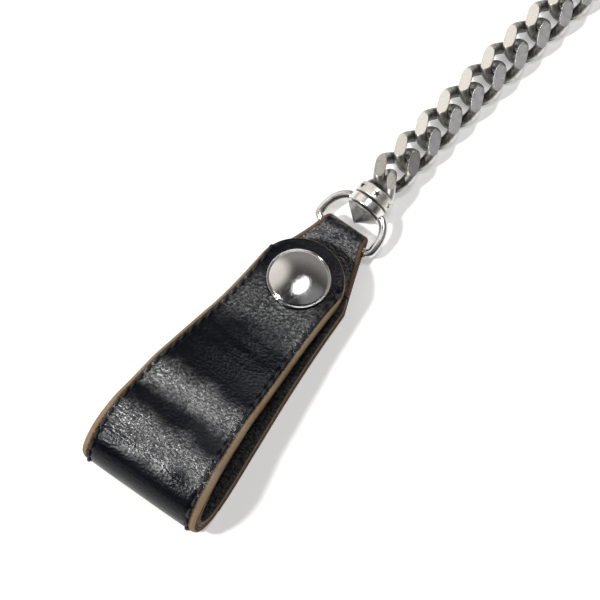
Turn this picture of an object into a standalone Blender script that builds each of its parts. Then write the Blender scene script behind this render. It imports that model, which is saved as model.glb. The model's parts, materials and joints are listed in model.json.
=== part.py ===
"""Wallet chain: a folded leather belt loop with a snap, a swivelling D-ring and a curb chain with a clasp.

Metres, +Z up. The back of the loop lies flat on z = 0 and +X runs along it towards the chain.
"""

import math

import bmesh
import bpy
from mathutils import Matrix, Vector

MM = 0.001
GAP = 0.3 * MM  # clearance between pieces that touch

# Leather strap
OUTER_T = 1.5 * MM  # outer leather layer
LINING_T = 1.3 * MM  # lining layer
EDGE_CUT = 0.45 * MM  # chamfer of the leather's edges
FOLD_X = -32.2 * MM  # outermost line of the fold
LOOP_H = 17.0 * MM  # height of the loop at its fold
SNAP_X = 30.0 * MM
SNAP_Z = 8.6 * MM  # height of the flap's middle line at the snap
FLAP_SNAP_HALF = 10.9 * MM  # half width of the flap at the snap, and radius of its tip
FLAP_OUTLINE = (  # mm: x, half width to the left, half width to the right
    (-32.2, 16.1, 16.0),
    (-26.0, 16.7, 15.2),
    (-19.0, 16.8, 14.0),
    (-12.0, 16.2, 13.1),
    (-5.0, 15.5, 12.4),
    (2.0, 14.4, 12.0),
    (9.0, 13.2, 11.6),
    (16.0, 12.0, 11.2),
    (23.0, 11.3, 11.0),
    (30.0, 10.9, 10.9),
)
BACK_OUTLINE = (
    (-32.2, 16.1, 16.0),
    (-26.0, 16.3, 16.3),
    (-20.0, 16.0, 16.0),
    (-6.5, 14.7, 14.7),
    (7.5, 13.3, 13.3),
    (21.5, 12.3, 12.3),
    (32.0, 11.9, 11.9),
)
LINING_INSET = 0.2 * MM
TAB_START = 32.0 * MM  # the back starts to narrow
TAB_END = 50.0 * MM
TAB_HALF = 4.9 * MM
TAB_TAPER = 1.0  # shape of the narrowing
LINING_END = 35.0 * MM
TAB_LEAN = math.radians(24.0)  # slope of the tab's sewn end as it comes off the ring
TIP_LEVEL = 0.8  # share of the flap's slope that its tip loses

# Ring
BAR_X = 46.9 * MM
BAR_Y = -0.4 * MM
WIRE_R = 1.05 * MM
BAR_PLAY = 0.4 * MM
BAR_Z = OUTER_T + WIRE_R + BAR_PLAY
RING_HALF = 7.9 * MM  # half width of the ring's centre line
RING_DEPTH = 8.8 * MM  # bar to the boss
RING_OVER = 0.9 * MM  # how far the bow's curve would pass the boss, where it is cut straight
RING_SQUARE = 2.5  # exponent of the bow's outline
RING_CORNER = 1.7 * MM  # bend between the bar and the bow
RING_YAW = math.radians(-5.0)  # sideways turn of the bar and the bow
BOSS_R = 4.7 * MM
BOSS_T = 2.2 * MM
SWIVEL_YAW = math.radians(-2.0)
SWIVEL_PITCH = math.radians(3.0)

# Swivel, measured along its axis from the middle of the boss
HEAD_L = 3.4 * MM
HEAD_R = 4.3 * MM
HEAD_TIP_R = 0.15 * MM
SHANK_R = 1.3 * MM
SHANK_END = 3.9 * MM
BARREL_R = 4.55 * MM
BARREL_START = 1.6 * MM
BARREL_END = 4.5 * MM
EYE_CENTRE = 3.6 * MM
EYE_A = 6.1 * MM
EYE_B = 3.5 * MM
EYE_R = 1.15 * MM
EYE_ROLL = math.radians(-12.0)
EYE_YAW = math.radians(5.0)
FIRST_JOINT = (8.0 * MM, 0.6 * MM)  # boss to the first link's joint, along and to the left

# Curb chain
LINKS = 36
PITCH = 7.5 * MM
LINK_R = 1.4 * MM
LINK_PLAY = 0.4 * MM
LINK_W = 10.2 * MM
LINK_H = 2.95 * MM  # half thickness over the ground flats
LINK_TWIST = math.radians(50.0)
LINK_SQUARE = 2.5  # exponent of the link's outline
STRAIGHT_LINKS = 14
TURN_LINKS = 16
TURN_STEP = math.radians(-10.0)
CHAIN_YAW = math.radians(-5.5)
DRIFT_STEP = math.radians(-0.6)
DRIFT_LINKS = 6
DROP_PITCH = (math.radians(-10.0), math.radians(-5.0))

# Snap, measured along its axis
CAP_R = 7.5 * MM
CAP_H = 2.4 * MM
CAP_RIM = 0.7 * MM
CAP_TOP_R = 1.8 * MM  # nearly flat middle of the dome
TUBE_R = 2.3 * MM  # the cap's tube, which goes through the flap
TUBE_BORE_R = 1.7 * MM
FLAP_HOLE_R = 2.7 * MM
SOCKET_R = 4.6 * MM
SOCKET_DEPTH = 2.0 * MM
SOCKET_MOUTH_R = 3.3 * MM
SOCKET_LIP = 0.4 * MM
GROOVE_R = 3.9 * MM  # groove for the snap's spring
GROOVE_END = 1.1 * MM
SNAP_SPRING_R = 3.45 * MM
SNAP_SPRING_AT = 0.75 * MM  # above the socket's mouth
SNAP_WIRE_R = 0.22 * MM
STUD_R = 2.8 * MM
STUD_FLANGE_R = 4.5 * MM
STUD_NECK_R = 2.3 * MM
STUD_HOLE_R = 1.9 * MM
STUD_MOUTH_R = 1.6 * MM
POST_R = 1.55 * MM
POST_HEAD_R = 4.3 * MM
POST_HEAD_LOW = 0.05 * MM
POST_HEAD_TOP = 0.75 * MM
POCKET_R = 4.7 * MM  # seat of the post's head in the back
POCKET_DEPTH = 1.05 * MM

# Clasp, measured along its axis from the last link's joint
CLASP_BARREL = 5.0 * MM
CLASP_R = 3.1 * MM
HOOK_R = 1.7 * MM
HOOK_HALF = 6.0 * MM
HOOK_START = 13.0 * MM
HOOK_END = 31.0 * MM
GATE_X = 15.5 * MM
STEM_R = 1.5 * MM
STEM_HEAD_R = 2.4 * MM
CLASP_EYE_AT = 1.2 * MM  # centre of the eye's bow, past the barrel's start
CLASP_EYE_HALF = 3.0 * MM
CLASP_EYE_R = 1.1 * MM
COLLAR_START = CLASP_BARREL + 3.3 * MM
COLLAR_END = CLASP_BARREL + 6.6 * MM
LUG_GAP = 1.2 * MM  # half the room between the gate's lugs
LUG_OUT = 2.6 * MM
LUG_OUTLINE = ((11.5, 4.6), (17.3, 4.6), (17.3, 7.4), (11.5, 7.4))
GATE_BORE_R = 0.95 * MM
GATE_PIN_R = 0.65 * MM
GATE_PIN_HALF = 2.9 * MM
GATE_SECTIONS = (  # mm: x from the pivot, half width, half height
    (-1.4, 0.7, 0.9),
    (-0.7, 1.3, 0.9),
    (2.2, 1.3, 0.9),
    (3.6, 1.2, 1.2),
)
GATE_END_HALF = 1.3
LEAF_LINE = ((13.4, 2.6), (15.2, 3.2), (17.4, 3.7), (19.8, 4.05))
LEAF_T = 0.35
LEAF_HALF = 0.7

LINK_A = (PITCH + 2 * LINK_R + LINK_PLAY) / 2
LINK_B = LINK_W / 2 - LINK_R


def clear_scene():
    for item in list(bpy.data.objects):
        bpy.data.objects.remove(item, do_unlink=True)


def make_material(name, colour, roughness, metallic):
    material = bpy.data.materials.new(name)
    material.use_nodes = True
    shader = material.node_tree.nodes["Principled BSDF"]
    shader.inputs["Base Color"].default_value = (*colour, 1.0)
    shader.inputs["Roughness"].default_value = roughness
    shader.inputs["Metallic"].default_value = metallic
    return material


def add_object(name, verts, faces, material, smooth_angle=35.0):
    mesh = bpy.data.meshes.new(name)
    mesh.from_pydata([tuple(v) for v in verts], [], faces)
    tidy = bmesh.new()
    tidy.from_mesh(mesh)
    bmesh.ops.recalc_face_normals(tidy, faces=tidy.faces)
    tidy.to_mesh(mesh)
    tidy.free()
    mesh.materials.append(material)
    mesh.shade_smooth()
    mesh.set_sharp_from_angle(angle=math.radians(smooth_angle))
    item = bpy.data.objects.new(name, mesh)
    bpy.context.scene.collection.objects.link(item)
    return item


def cut_away(target, cutter, operation="DIFFERENCE"):
    """Boolean the cutter into the target and keep the cutter only as a guide."""
    cutter.hide_render = True
    cutter.display_type = "WIRE"
    modifier = target.modifiers.new(cutter.name, "BOOLEAN")
    modifier.operation = operation
    modifier.object = cutter


def loft(rings, closed=False):
    """Faces that join equal rings of vertices, with end caps unless the loft is closed."""
    count = len(rings[0])
    verts = [v for ring in rings for v in ring]
    faces = []
    spans = len(rings) if closed else len(rings) - 1
    for i in range(spans):
        a = i * count
        b = ((i + 1) % len(rings)) * count
        for k in range(count):
            n = (k + 1) % count
            faces.append((a + k, a + n, b + n, b + k))
    if not closed:
        faces.append(tuple(range(count)))
        last = (len(rings) - 1) * count
        faces.append(tuple(last + k for k in reversed(range(count))))
    return verts, faces


def turned(profile, steps, place, closed_profile=False):
    """A solid of revolution round local +X. The profile is (x, radius), from one end to the other."""
    rings = []
    for x, radius in profile:
        ring = []
        for k in range(steps):
            a = 2 * math.pi * k / steps
            ring.append(place @ Vector((x, radius * math.cos(a), radius * math.sin(a))))
        rings.append(ring)
    return loft(rings, closed_profile)


def swept(points, radius, sides, closed, up, place=None):
    """A round wire along the points. Its section keeps to the given up direction."""
    place = place or Matrix()
    rings = []
    count = len(points)
    for i, point in enumerate(points):
        before = points[i - 1] if closed or i else point
        after = points[(i + 1) % count] if closed or i + 1 < count else point
        along = (after - before).normalized()
        side = along.cross(up).normalized()
        over = side.cross(along)
        ring = []
        for k in range(sides):
            a = 2 * math.pi * (k + 0.5) / sides
            ring.append(place @ (point + radius * (math.cos(a) * side + math.sin(a) * over)))
        rings.append(ring)
    return loft(rings, closed)


def slab_cylinder(name, radius, low, high, steps, place, material):
    verts, faces = turned([(low, radius), (high, radius)], steps, place)
    return add_object(name, verts, faces, material)


# ---------------------------------------------------------------- leather


def outline_at(outline, x):
    """Half widths to the left and right of the middle, on straight lines between the outline's points."""
    for (x0, *low), (x1, *high) in zip(outline, outline[1:]):
        if x <= x1 * MM:
            break
    t = max(0.0, min(1.0, (x / MM - x0) / (x1 - x0)))
    return tuple(MM * (a + (b - a) * t) for a, b in zip(low, high))


def back_halves(x):
    wide = outline_at(BACK_OUTLINE, x)
    t = max(0.0, min(1.0, (x - TAB_START) / (TAB_END - TAB_START)))
    return tuple(TAB_HALF + (half - TAB_HALF) * (1 - t) ** TAB_TAPER for half in wide)


FLAP_TIP = SNAP_X + FLAP_SNAP_HALF


def flap_halves(x):
    if x <= SNAP_X:
        return outline_at(FLAP_OUTLINE, x)
    reach = min(1.0, (x - SNAP_X) / FLAP_SNAP_HALF)
    half = max(1.5 * MM, FLAP_SNAP_HALF * math.sqrt(1 - reach * reach))
    return half, half


def tab_sway(x):
    """Sideways shift of the back's centre line, which bends towards the chain."""
    t = max(0.0, (x - TAB_START) / (BAR_X - TAB_START))
    return BAR_Y * t * t


SEAM_Z = OUTER_T + GAP / 2  # middle line between the two layers of the back
FOLD_R = (LOOP_H - 2 * SEAM_Z) / 2
FOLD_CX = FOLD_X + SEAM_Z + FOLD_R
FOLD_CZ = SEAM_Z + FOLD_R
HINGE = Vector((FOLD_X, 0.0, FOLD_CZ))


def flap_slope():
    """Angle below level of the straight flap: tangent to the fold and through the snap."""
    dx = SNAP_X - FOLD_CX
    dz = SNAP_Z - FOLD_CZ
    reach = math.hypot(dx, dz)
    return math.asin(FOLD_R / reach) - math.atan2(dz, dx)


SLOPE = flap_slope()


def flap_line():
    """Stations (x, z, normal angle) of the flap's middle line, from the split to the tip."""
    stations = []
    split = GAP / 2 / FOLD_R
    end = math.pi / 2 - SLOPE
    for i in range(10):
        a = math.pi - split + (end - math.pi + split) * i / 9
        stations.append((FOLD_CX + FOLD_R * math.cos(a), FOLD_CZ + FOLD_R * math.sin(a), a))
    x0, z0, _ = stations[-1]
    level_from = SNAP_X + 4.0 * MM
    for x in [x0 + (level_from - x0) * i / 8 for i in range(1, 9)]:
        stations.append((x, z0 - (x - x0) * math.tan(SLOPE), end))
    x1, z1, _ = stations[-1]
    steps = 8
    for i in range(1, steps + 1):
        t = math.sin(math.pi / 2 * i / steps)
        run = (FLAP_TIP - x1) * t
        tilt = SLOPE * (1 - TIP_LEVEL * t)
        drop = run * math.tan(SLOPE * (1 - TIP_LEVEL / 2 * t))
        stations.append((x1 + run, z1 - drop, math.pi / 2 - tilt))
    return stations


def back_line():
    """Stations of the back's middle line, from the tab's end to the split in the fold."""
    places = (42 * MM, 38.5 * MM, LINING_END, 33 * MM, 31 * MM, 21.5 * MM, 7.5 * MM, -6.5 * MM, -16 * MM)
    stations = [(x, SEAM_Z, -math.pi / 2) for x in places]
    split = GAP / 2 / FOLD_R
    for i in range(9):
        a = -math.pi / 2 - (math.pi / 2 - split) * i / 8
        stations.append((FOLD_CX + FOLD_R * math.cos(a), FOLD_CZ + FOLD_R * math.sin(a), a))
    return stations


def leather_ring(x, z, angle, low, high, halves, sway=0.0):
    """One chamfered section across a layer: low and high are distances outward from the middle line."""
    left, right = halves
    cut = min(EDGE_CUT, (high - low) / 3)
    section = (
        (-right + cut, low),
        (left - cut, low),
        (left, low + cut),
        (left, high - cut),
        (left - cut, high),
        (-right + cut, high),
        (-right, high - cut),
        (-right, low + cut),
    )
    return [
        Vector((x + w * math.cos(angle), y + sway, z + w * math.sin(angle)))
        for y, w in section
    ]


def leather_layer(name, stations, low, high, halves_at, inset, material, sway_at=None):
    rings = []
    for x, z, angle in stations:
        sway = sway_at(x) if sway_at else 0.0
        halves = tuple(half - inset for half in halves_at(x))
        rings.append(leather_ring(x, z, angle, low, high, halves, sway))
    verts, faces = loft(rings)
    return add_object(name, verts, faces, material)


def tab_wrap():
    """Stations that carry the outer layer round the ring's bar and back to the lining's end."""
    inner = WIRE_R + BAR_PLAY
    radius = inner - GAP / 2  # middle line round the bar
    stations = []
    top_end = LINING_END + GAP
    stations.append((top_end, SEAM_Z, math.pi / 2))
    stations.append((top_end + 3.0 * MM, SEAM_Z + 0.05 * MM, math.pi / 2 + TAB_LEAN / 3))
    for i in range(11):
        a = math.pi / 2 + TAB_LEAN - (math.pi + TAB_LEAN) * i / 10
        stations.append((BAR_X + radius * math.cos(a), BAR_Z + radius * math.sin(a), a))
    return stations


def make_leather(leather, lining):
    outer_low = GAP / 2
    outer_high = GAP / 2 + OUTER_T
    lining_low = -GAP / 2 - LINING_T
    lining_high = -GAP / 2

    outer = (outer_low, outer_high)
    inner = (lining_low, lining_high)
    around = tab_wrap() + back_line()
    along = back_line()[2:]
    top = flap_line()
    back = leather_layer("strap_back", around, *outer, back_halves, 0.0, leather, tab_sway)
    back_in = leather_layer("back_lining", along, *inner, back_halves, LINING_INSET, lining, tab_sway)
    flap = leather_layer("flap_outer", top, *outer, flap_halves, 0.0, leather)
    flap_in = leather_layer("flap_lining", top, *inner, flap_halves, LINING_INSET, lining)
    return back, back_in, flap, flap_in


# ---------------------------------------------------------------- snap


def snap_frame():
    """Axis of the flap's half of the snap: local +X points out of the flap's face."""
    up = Matrix.Rotation(-math.pi / 2, 4, "Y")
    return Matrix.Translation((SNAP_X, 0.0, SNAP_Z)) @ Matrix.Rotation(SLOPE, 4, "Y") @ up


def back_frame():
    return Matrix.Translation((SNAP_X, 0.0, 0.0)) @ Matrix.Rotation(-math.pi / 2, 4, "Y")


def make_cap(place, metal, dark):
    face = OUTER_T + GAP * 1.5
    tube_end = -LINING_T - 3.0 * GAP
    profile = [
        (tube_end, TUBE_R),
        (face, TUBE_R),
        (face, CAP_R - 0.5 * MM),
        (face + 0.3 * MM, CAP_R),
        (face + CAP_RIM, CAP_R),
    ]
    for a in (0.35, 0.7, 1.0, 1.25):
        profile.append((face + CAP_H * math.sin(a), CAP_R * math.cos(a)))
    profile.append((face + CAP_H, CAP_TOP_R))
    profile.append((face + CAP_H + 0.02 * MM, CAP_TOP_R / 3))
    verts, faces = turned(profile, 32, place)
    cap = add_object("snap_cap", verts, faces, metal)
    cut_away(cap, slab_cylinder("cap_bore", TUBE_BORE_R, tube_end - MM, face - 0.2 * MM, 16, place, dark))


def make_socket(place, metal):
    """The socket under the flap, with a groove inside that holds an open spring ring."""
    roof = -LINING_T - GAP * 1.5
    mouth = roof - SOCKET_DEPTH
    profile = [
        (roof, FLAP_HOLE_R),
        (roof, SOCKET_R),
        (mouth, SOCKET_R),
        (mouth, SOCKET_MOUTH_R),
        (mouth + SOCKET_LIP, SOCKET_MOUTH_R),
        (mouth + SOCKET_LIP, GROOVE_R),
        (mouth + GROOVE_END, GROOVE_R),
        (mouth + GROOVE_END, SOCKET_MOUTH_R),
        (roof - 0.5 * MM, SOCKET_MOUTH_R),
        (roof - 0.5 * MM, FLAP_HOLE_R),
    ]
    verts, faces = turned(profile, 24, place, closed_profile=True)
    add_object("snap_socket", verts, faces, metal)

    points = []
    steps = 20
    for i in range(steps):
        a = math.radians(25 + 310 * i / (steps - 1))
        ring = (SNAP_SPRING_R * math.cos(a), SNAP_SPRING_R * math.sin(a))
        points.append(Vector((mouth + SNAP_SPRING_AT, *ring)))
    verts, faces = swept(points, SNAP_WIRE_R, 6, False, Vector((1, 0, 0)), place)
    add_object("snap_spring", verts, faces, metal)


def make_stud(place, metal):
    """The stud on the back's lining, and the post that holds it from below."""
    seat = OUTER_T + 2 * GAP + LINING_T
    stud_profile = [
        (seat, STUD_HOLE_R),
        (seat, STUD_FLANGE_R),
        (seat + 0.4 * MM, STUD_FLANGE_R),
        (seat + 0.5 * MM, STUD_NECK_R),
        (seat + 1.4 * MM, STUD_NECK_R),
        (seat + 1.9 * MM, STUD_R),
        (seat + 2.3 * MM, STUD_R - 0.4 * MM),
        (seat + 2.4 * MM, STUD_MOUTH_R),
        (seat + 1.9 * MM, STUD_MOUTH_R),
        (seat + 1.9 * MM, STUD_HOLE_R),
    ]
    verts, faces = turned(stud_profile, 24, place, closed_profile=True)
    add_object("snap_stud", verts, faces, metal)

    post_profile = [
        (POST_HEAD_LOW, POST_HEAD_R - 0.4 * MM),
        (POST_HEAD_LOW + 0.2 * MM, POST_HEAD_R),
        (POST_HEAD_TOP, POST_HEAD_R),
        (POST_HEAD_TOP, POST_R),
        (seat + 1.5 * MM, POST_R),
    ]
    verts, faces = turned(post_profile, 20, place)
    add_object("snap_post", verts, faces, metal)


def make_snap(leathers, metal, dark):
    back, back_in, flap, flap_in = leathers
    top = snap_frame()
    low = back_frame()
    make_cap(top, metal, dark)
    make_socket(top, metal)
    make_stud(low, metal)
    cut_away(back, slab_cylinder("back_hole", STUD_HOLE_R, -MM, 6 * MM, 16, low, dark))
    cut_away(back, slab_cylinder("back_pocket", POCKET_R, -MM, POCKET_DEPTH, 20, low, dark))
    cut_away(back_in, slab_cylinder("back_lining_hole", STUD_HOLE_R, 0.0, 6 * MM, 16, low, dark))
    cut_away(flap, slab_cylinder("flap_hole", FLAP_HOLE_R, -3 * MM, 3 * MM, 16, top, dark))
    cut_away(flap_in, slab_cylinder("flap_lining_hole", FLAP_HOLE_R, -3 * MM, 3 * MM, 16, top, dark))


# ---------------------------------------------------------------- ring and swivel


def boss_place():
    rise = BOSS_R - BAR_Z
    run = math.sqrt(RING_DEPTH ** 2 - rise ** 2)
    return Vector((BAR_X + run * math.cos(RING_YAW), BAR_Y + run * math.sin(RING_YAW), BOSS_R))


def ring_frame():
    """Origin on the bar, +X towards the boss, +Y along the bar."""
    tilt = math.asin((BOSS_R - BAR_Z) / RING_DEPTH)
    place = Matrix.Translation((BAR_X, BAR_Y, BAR_Z))
    return place @ Matrix.Rotation(RING_YAW, 4, "Z") @ Matrix.Rotation(-tilt, 4, "Y")


def axis_frame():
    """Origin in the middle of the boss, +X along the swivel towards the chain."""
    place = Matrix.Translation(boss_place())
    return place @ Matrix.Rotation(SWIVEL_YAW, 4, "Z") @ Matrix.Rotation(-SWIVEL_PITCH, 4, "Y")


def ring_points():
    corner = RING_CORNER
    straight = RING_HALF - RING_CORNER - 0.8 * MM
    points = [Vector((0.0, straight * side, 0.0)) for side in (-1, -1 / 3, 1 / 3, 1)]
    for i in range(1, 4):
        a = -math.pi / 2 + math.pi / 2 * i / 4
        points.append(
            Vector((corner + corner * math.sin(a), RING_HALF - corner + corner * math.cos(a), 0.0))
        )
    arc = 14
    for i in range(arc + 1):
        a = math.pi / 2 - math.pi * i / arc
        reach = max(0.0, math.cos(a)) ** (2 / RING_SQUARE)
        wide = math.copysign(abs(math.sin(a)) ** (2 / RING_SQUARE), a)
        x = corner + (RING_DEPTH + RING_OVER - corner) * reach
        points.append(Vector((min(x, RING_DEPTH), RING_HALF * wide, 0.0)))
    for i in range(1, 4):
        a = math.pi / 2 * i / 4
        points.append(
            Vector((corner - corner * math.sin(a), -RING_HALF + corner - corner * math.cos(a), 0.0))
        )
    return points


def half_link(a, b, start, roll):
    """Points of an eye: one bow of a twisted link, from x = start to its far end and back."""
    points = []
    steps = 15
    first = math.acos(max(-1.0, min(1.0, start / a)))
    for i in range(steps):
        t = first - 2 * first * i / (steps - 1)
        points.append(link_centre(t, a, b, roll))
    return points


def link_centre(t, a, b, roll=0.0):
    """A point of a twisted link's centre line. The twist turns with the way along the link."""
    c = math.cos(t)
    s = math.sin(t)
    x = a * math.copysign(abs(c) ** (2 / LINK_SQUARE), c)
    y = b * math.copysign(abs(s) ** (2 / LINK_SQUARE), s)
    turn = roll - LINK_TWIST * math.sin(math.pi / 2 * x / a)
    return Vector((x, y * math.cos(turn), y * math.sin(turn)))


def make_ring_and_swivel(metal, chain_metal, dark):
    verts, faces = swept(ring_points(), WIRE_R, 8, True, Vector((0, 0, 1)), ring_frame())
    ring = add_object("d_ring", verts, faces, metal, 60)
    axis = axis_frame()
    boss = slab_cylinder("boss", BOSS_R - 0.05 * MM, -BOSS_T / 2, BOSS_T / 2, 28, axis, metal)
    cut_away(ring, boss, "UNION")
    cut_away(ring, slab_cylinder("boss_bore", SHANK_R + GAP, -3 * MM, 3 * MM, 16, axis, dark))

    base = -BOSS_T / 2 - GAP
    pin_profile = [
        (base - HEAD_L, HEAD_TIP_R),
        (base - 0.25 * MM, HEAD_R),
        (base, HEAD_R - 0.2 * MM),
        (base, SHANK_R),
        (SHANK_END, SHANK_R),
    ]
    verts, faces = turned(pin_profile, 8, axis)
    add_object("swivel_pin", verts, faces, chain_metal, 10)

    barrel_profile = [
        (BARREL_START, BARREL_R - 0.3 * MM),
        (BARREL_START + 0.3 * MM, BARREL_R),
        (BARREL_END - 0.6 * MM, BARREL_R),
        (BARREL_END, BARREL_R - 0.6 * MM),
    ]
    verts, faces = turned(barrel_profile, 24, axis)
    barrel = add_object("swivel_barrel", verts, faces, chain_metal)
    eye_place = axis @ Matrix.Translation((EYE_CENTRE, 0, 0)) @ Matrix.Rotation(EYE_YAW, 4, "Z")
    points = half_link(EYE_A, EYE_B, -0.8 * MM, EYE_ROLL)
    verts, faces = swept(points, EYE_R, 8, False, Vector((0, 0.34, 0.94)), eye_place)
    cut_away(barrel, add_object("eye", verts, faces, chain_metal), "UNION")
    cut_away(
        barrel,
        slab_cylinder("barrel_bore", SHANK_R + GAP, 0.0, SHANK_END + GAP, 16, axis, dark),
    )


# ---------------------------------------------------------------- chain


def chain_frames():
    """Frames at each link's centre, and the joint point before each link."""
    joint = axis_frame() @ Vector((*FIRST_JOINT, 0.0))
    drop = PITCH * sum(math.sin(-p) for p in DROP_PITCH)
    joint.z = LINK_H + drop
    yaw = CHAIN_YAW
    frames = []
    joints = []
    for i in range(LINKS):
        if 0 < i <= DRIFT_LINKS:
            yaw += DRIFT_STEP
        if STRAIGHT_LINKS <= i < STRAIGHT_LINKS + TURN_LINKS:
            yaw += TURN_STEP
        pitch = DROP_PITCH[i] if i < len(DROP_PITCH) else 0.0
        turn = Matrix.Rotation(yaw, 4, "Z") @ Matrix.Rotation(-pitch, 4, "Y")
        step = turn.to_3x3() @ Vector((PITCH / 2, 0.0, 0.0))
        joints.append(joint.copy())
        centre = joint + step
        frames.append(Matrix.Translation(centre) @ turn)
        joint = centre + step
    end = Matrix.Translation(joint) @ Matrix.Rotation(yaw, 4, "Z")
    joints.append(joint.copy())
    return frames, joints, end


def link_mesh():
    steps = 18
    sides = 6
    points = [link_centre(2 * math.pi * i / steps, LINK_A, LINK_B) for i in range(steps)]
    rings = []
    for i, point in enumerate(points):
        along = (points[(i + 1) % steps] - points[i - 1]).normalized()
        side = along.cross(Vector((0, 0, 1))).normalized()
        over = side.cross(along)
        ring = []
        for k in range(sides):
            a = 2 * math.pi * (k + 0.5) / sides
            v = point + LINK_R * (math.cos(a) * side + math.sin(a) * over)
            v.z = max(-LINK_H, min(LINK_H, v.z))
            ring.append(v)
        rings.append(ring)
    return loft(rings, closed=True)


def make_chain(material):
    frames, _, _ = chain_frames()
    verts, faces = link_mesh()
    for i, frame in enumerate(frames):
        placed = [frame @ v for v in verts]
        add_object(f"link_{i + 1:02d}", placed, faces, material, 60)


# ---------------------------------------------------------------- clasp


def clasp_frame():
    """Origin at the last link's joint, +X away from the chain, at the clasp's own height."""
    _, _, end = chain_frames()
    place = end.copy()
    place.translation.z = CLASP_R + 0.05 * MM
    return place


def make_clasp_eye(place, metal):
    """The clasp's swivel: an eye on a short barrel, with a headed stem for the hook's collar."""
    neck = COLLAR_START - GAP
    head = COLLAR_END + GAP
    profile = [
        (CLASP_BARREL, CLASP_R - 0.4 * MM),
        (CLASP_BARREL + 0.4 * MM, CLASP_R),
        (neck - 0.4 * MM, CLASP_R),
        (neck, CLASP_R - 0.4 * MM),
        (neck, STEM_R),
        (head, STEM_R),
        (head, STEM_HEAD_R),
        (head + MM, STEM_HEAD_R),
    ]
    verts, faces = turned(profile, 20, place)
    eye = add_object("clasp_eye", verts, faces, metal)
    middle = CLASP_BARREL + CLASP_EYE_AT
    bow_place = place @ Matrix.Translation((middle, 0, 0)) @ Matrix.Rotation(math.pi, 4, "Z")
    reach = middle + LINK_A - PITCH / 2
    points = half_link(reach, CLASP_EYE_HALF, -CLASP_EYE_AT / 2, 0.0)
    verts, faces = swept(points, CLASP_EYE_R, 8, False, Vector((0, 0, 1)), bow_place)
    cut_away(eye, add_object("clasp_eye_bow", verts, faces, metal), "UNION")


def box(name, outline, low, high, place, material):
    """An upright block over a four-cornered outline in mm."""
    corners = [place @ Vector((x * MM, y * MM, z)) for z in (low, high) for x, y in outline]
    faces = [(0, 3, 2, 1), (4, 5, 6, 7), (0, 1, 5, 4), (1, 2, 6, 5), (2, 3, 7, 6), (3, 0, 4, 7)]
    return add_object(name, corners, faces, material)


def make_clasp_hook(place, pivot, metal, dark):
    """The collar, the bent hook, the short arm and the two lugs that hold the gate's pin."""
    profile = [
        (COLLAR_START, STEM_R + GAP),
        (COLLAR_START, CLASP_R),
        (COLLAR_END, CLASP_R),
        (COLLAR_END, STEM_R + GAP),
    ]
    verts, faces = turned(profile, 20, place, closed_profile=True)
    hook = add_object("clasp_hook", verts, faces, metal)
    root = CLASP_BARREL + 5.0 * MM
    root_half = CLASP_R - 0.2 * MM
    points = [
        Vector((root, -root_half, 0.0)),
        Vector((root + 1.4 * MM, -0.72 * HOOK_HALF, 0.0)),
        Vector((HOOK_START, -HOOK_HALF, 0.0)),
        Vector((HOOK_START + 6 * MM, -HOOK_HALF, 0.0)),
    ]
    bend = HOOK_END - HOOK_HALF
    for i in range(11):
        a = -math.pi / 2 + math.pi * i / 10
        points.append(Vector((bend + HOOK_HALF * math.cos(a), HOOK_HALF * math.sin(a), 0.0)))
    verts, faces = swept(points, HOOK_R, 8, False, Vector((0, 0, 1)), place)
    cut_away(hook, add_object("hook_wire", verts, faces, metal), "UNION")
    arm = [
        Vector((root, root_half, 0.0)),
        Vector((root + 2.4 * MM, 0.85 * HOOK_HALF, 0.0)),
        Vector((GATE_X - 2.4 * MM, HOOK_HALF, 0.0)),
    ]
    verts, faces = swept(arm, HOOK_R, 8, False, Vector((0, 0, 1)), place)
    cut_away(hook, add_object("hook_arm", verts, faces, metal), "UNION")
    cut_away(hook, box("lug_low", LUG_OUTLINE, -LUG_OUT, -LUG_GAP, place, metal), "UNION")
    cut_away(hook, box("lug_high", LUG_OUTLINE, LUG_GAP, LUG_OUT, place, metal), "UNION")
    cut_away(hook, slab_cylinder("lug_bore", GATE_BORE_R, -4 * MM, 4 * MM, 12, pivot, dark))


def make_clasp_gate(place, pivot, metal, dark):
    """The gate's arm, an eight-sided bar that widens towards the hook's point."""
    bend = HOOK_END - HOOK_HALF
    sections = [(GATE_X + x * MM, half_y * MM, half_z * MM) for x, half_y, half_z in GATE_SECTIONS]
    sections.append((bend - GAP, GATE_END_HALF * MM, GATE_END_HALF * MM))
    corners = ((-1, -0.5), (-0.5, -1), (0.5, -1), (1, -0.5), (1, 0.5), (0.5, 1), (-0.5, 1), (-1, 0.5))
    rings = []
    for x, half_y, half_z in sections:
        rings.append([place @ Vector((x, HOOK_HALF + half_y * y, half_z * z)) for y, z in corners])
    verts, faces = loft(rings)
    gate = add_object("clasp_gate", verts, faces, metal)
    cut_away(gate, slab_cylinder("gate_bore", GATE_BORE_R, -4 * MM, 4 * MM, 12, pivot, dark))


def make_clasp(metal, steel, dark):
    place = clasp_frame()
    turn = Matrix.Rotation(-math.pi / 2, 4, "Y")
    pivot = place @ Matrix.Translation((GATE_X, HOOK_HALF, 0.0)) @ turn
    make_clasp_eye(place, metal)
    make_clasp_hook(place, pivot, metal, dark)
    make_clasp_gate(place, pivot, metal, dark)
    pin_profile = [(-GATE_PIN_HALF, GATE_PIN_R), (GATE_PIN_HALF, GATE_PIN_R)]
    verts, faces = turned(pin_profile, 12, pivot)
    add_object("clasp_pin", verts, faces, steel)

    corners = ((0.0, -LEAF_HALF), (LEAF_T, -LEAF_HALF), (LEAF_T, LEAF_HALF), (0.0, LEAF_HALF))
    leaf = []
    for x, y in LEAF_LINE:
        leaf.append([place @ Vector((x * MM, (y + dy) * MM, dz * MM)) for dy, dz in corners])
    verts, faces = loft(leaf)
    add_object("clasp_spring", verts, faces, steel)


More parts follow.
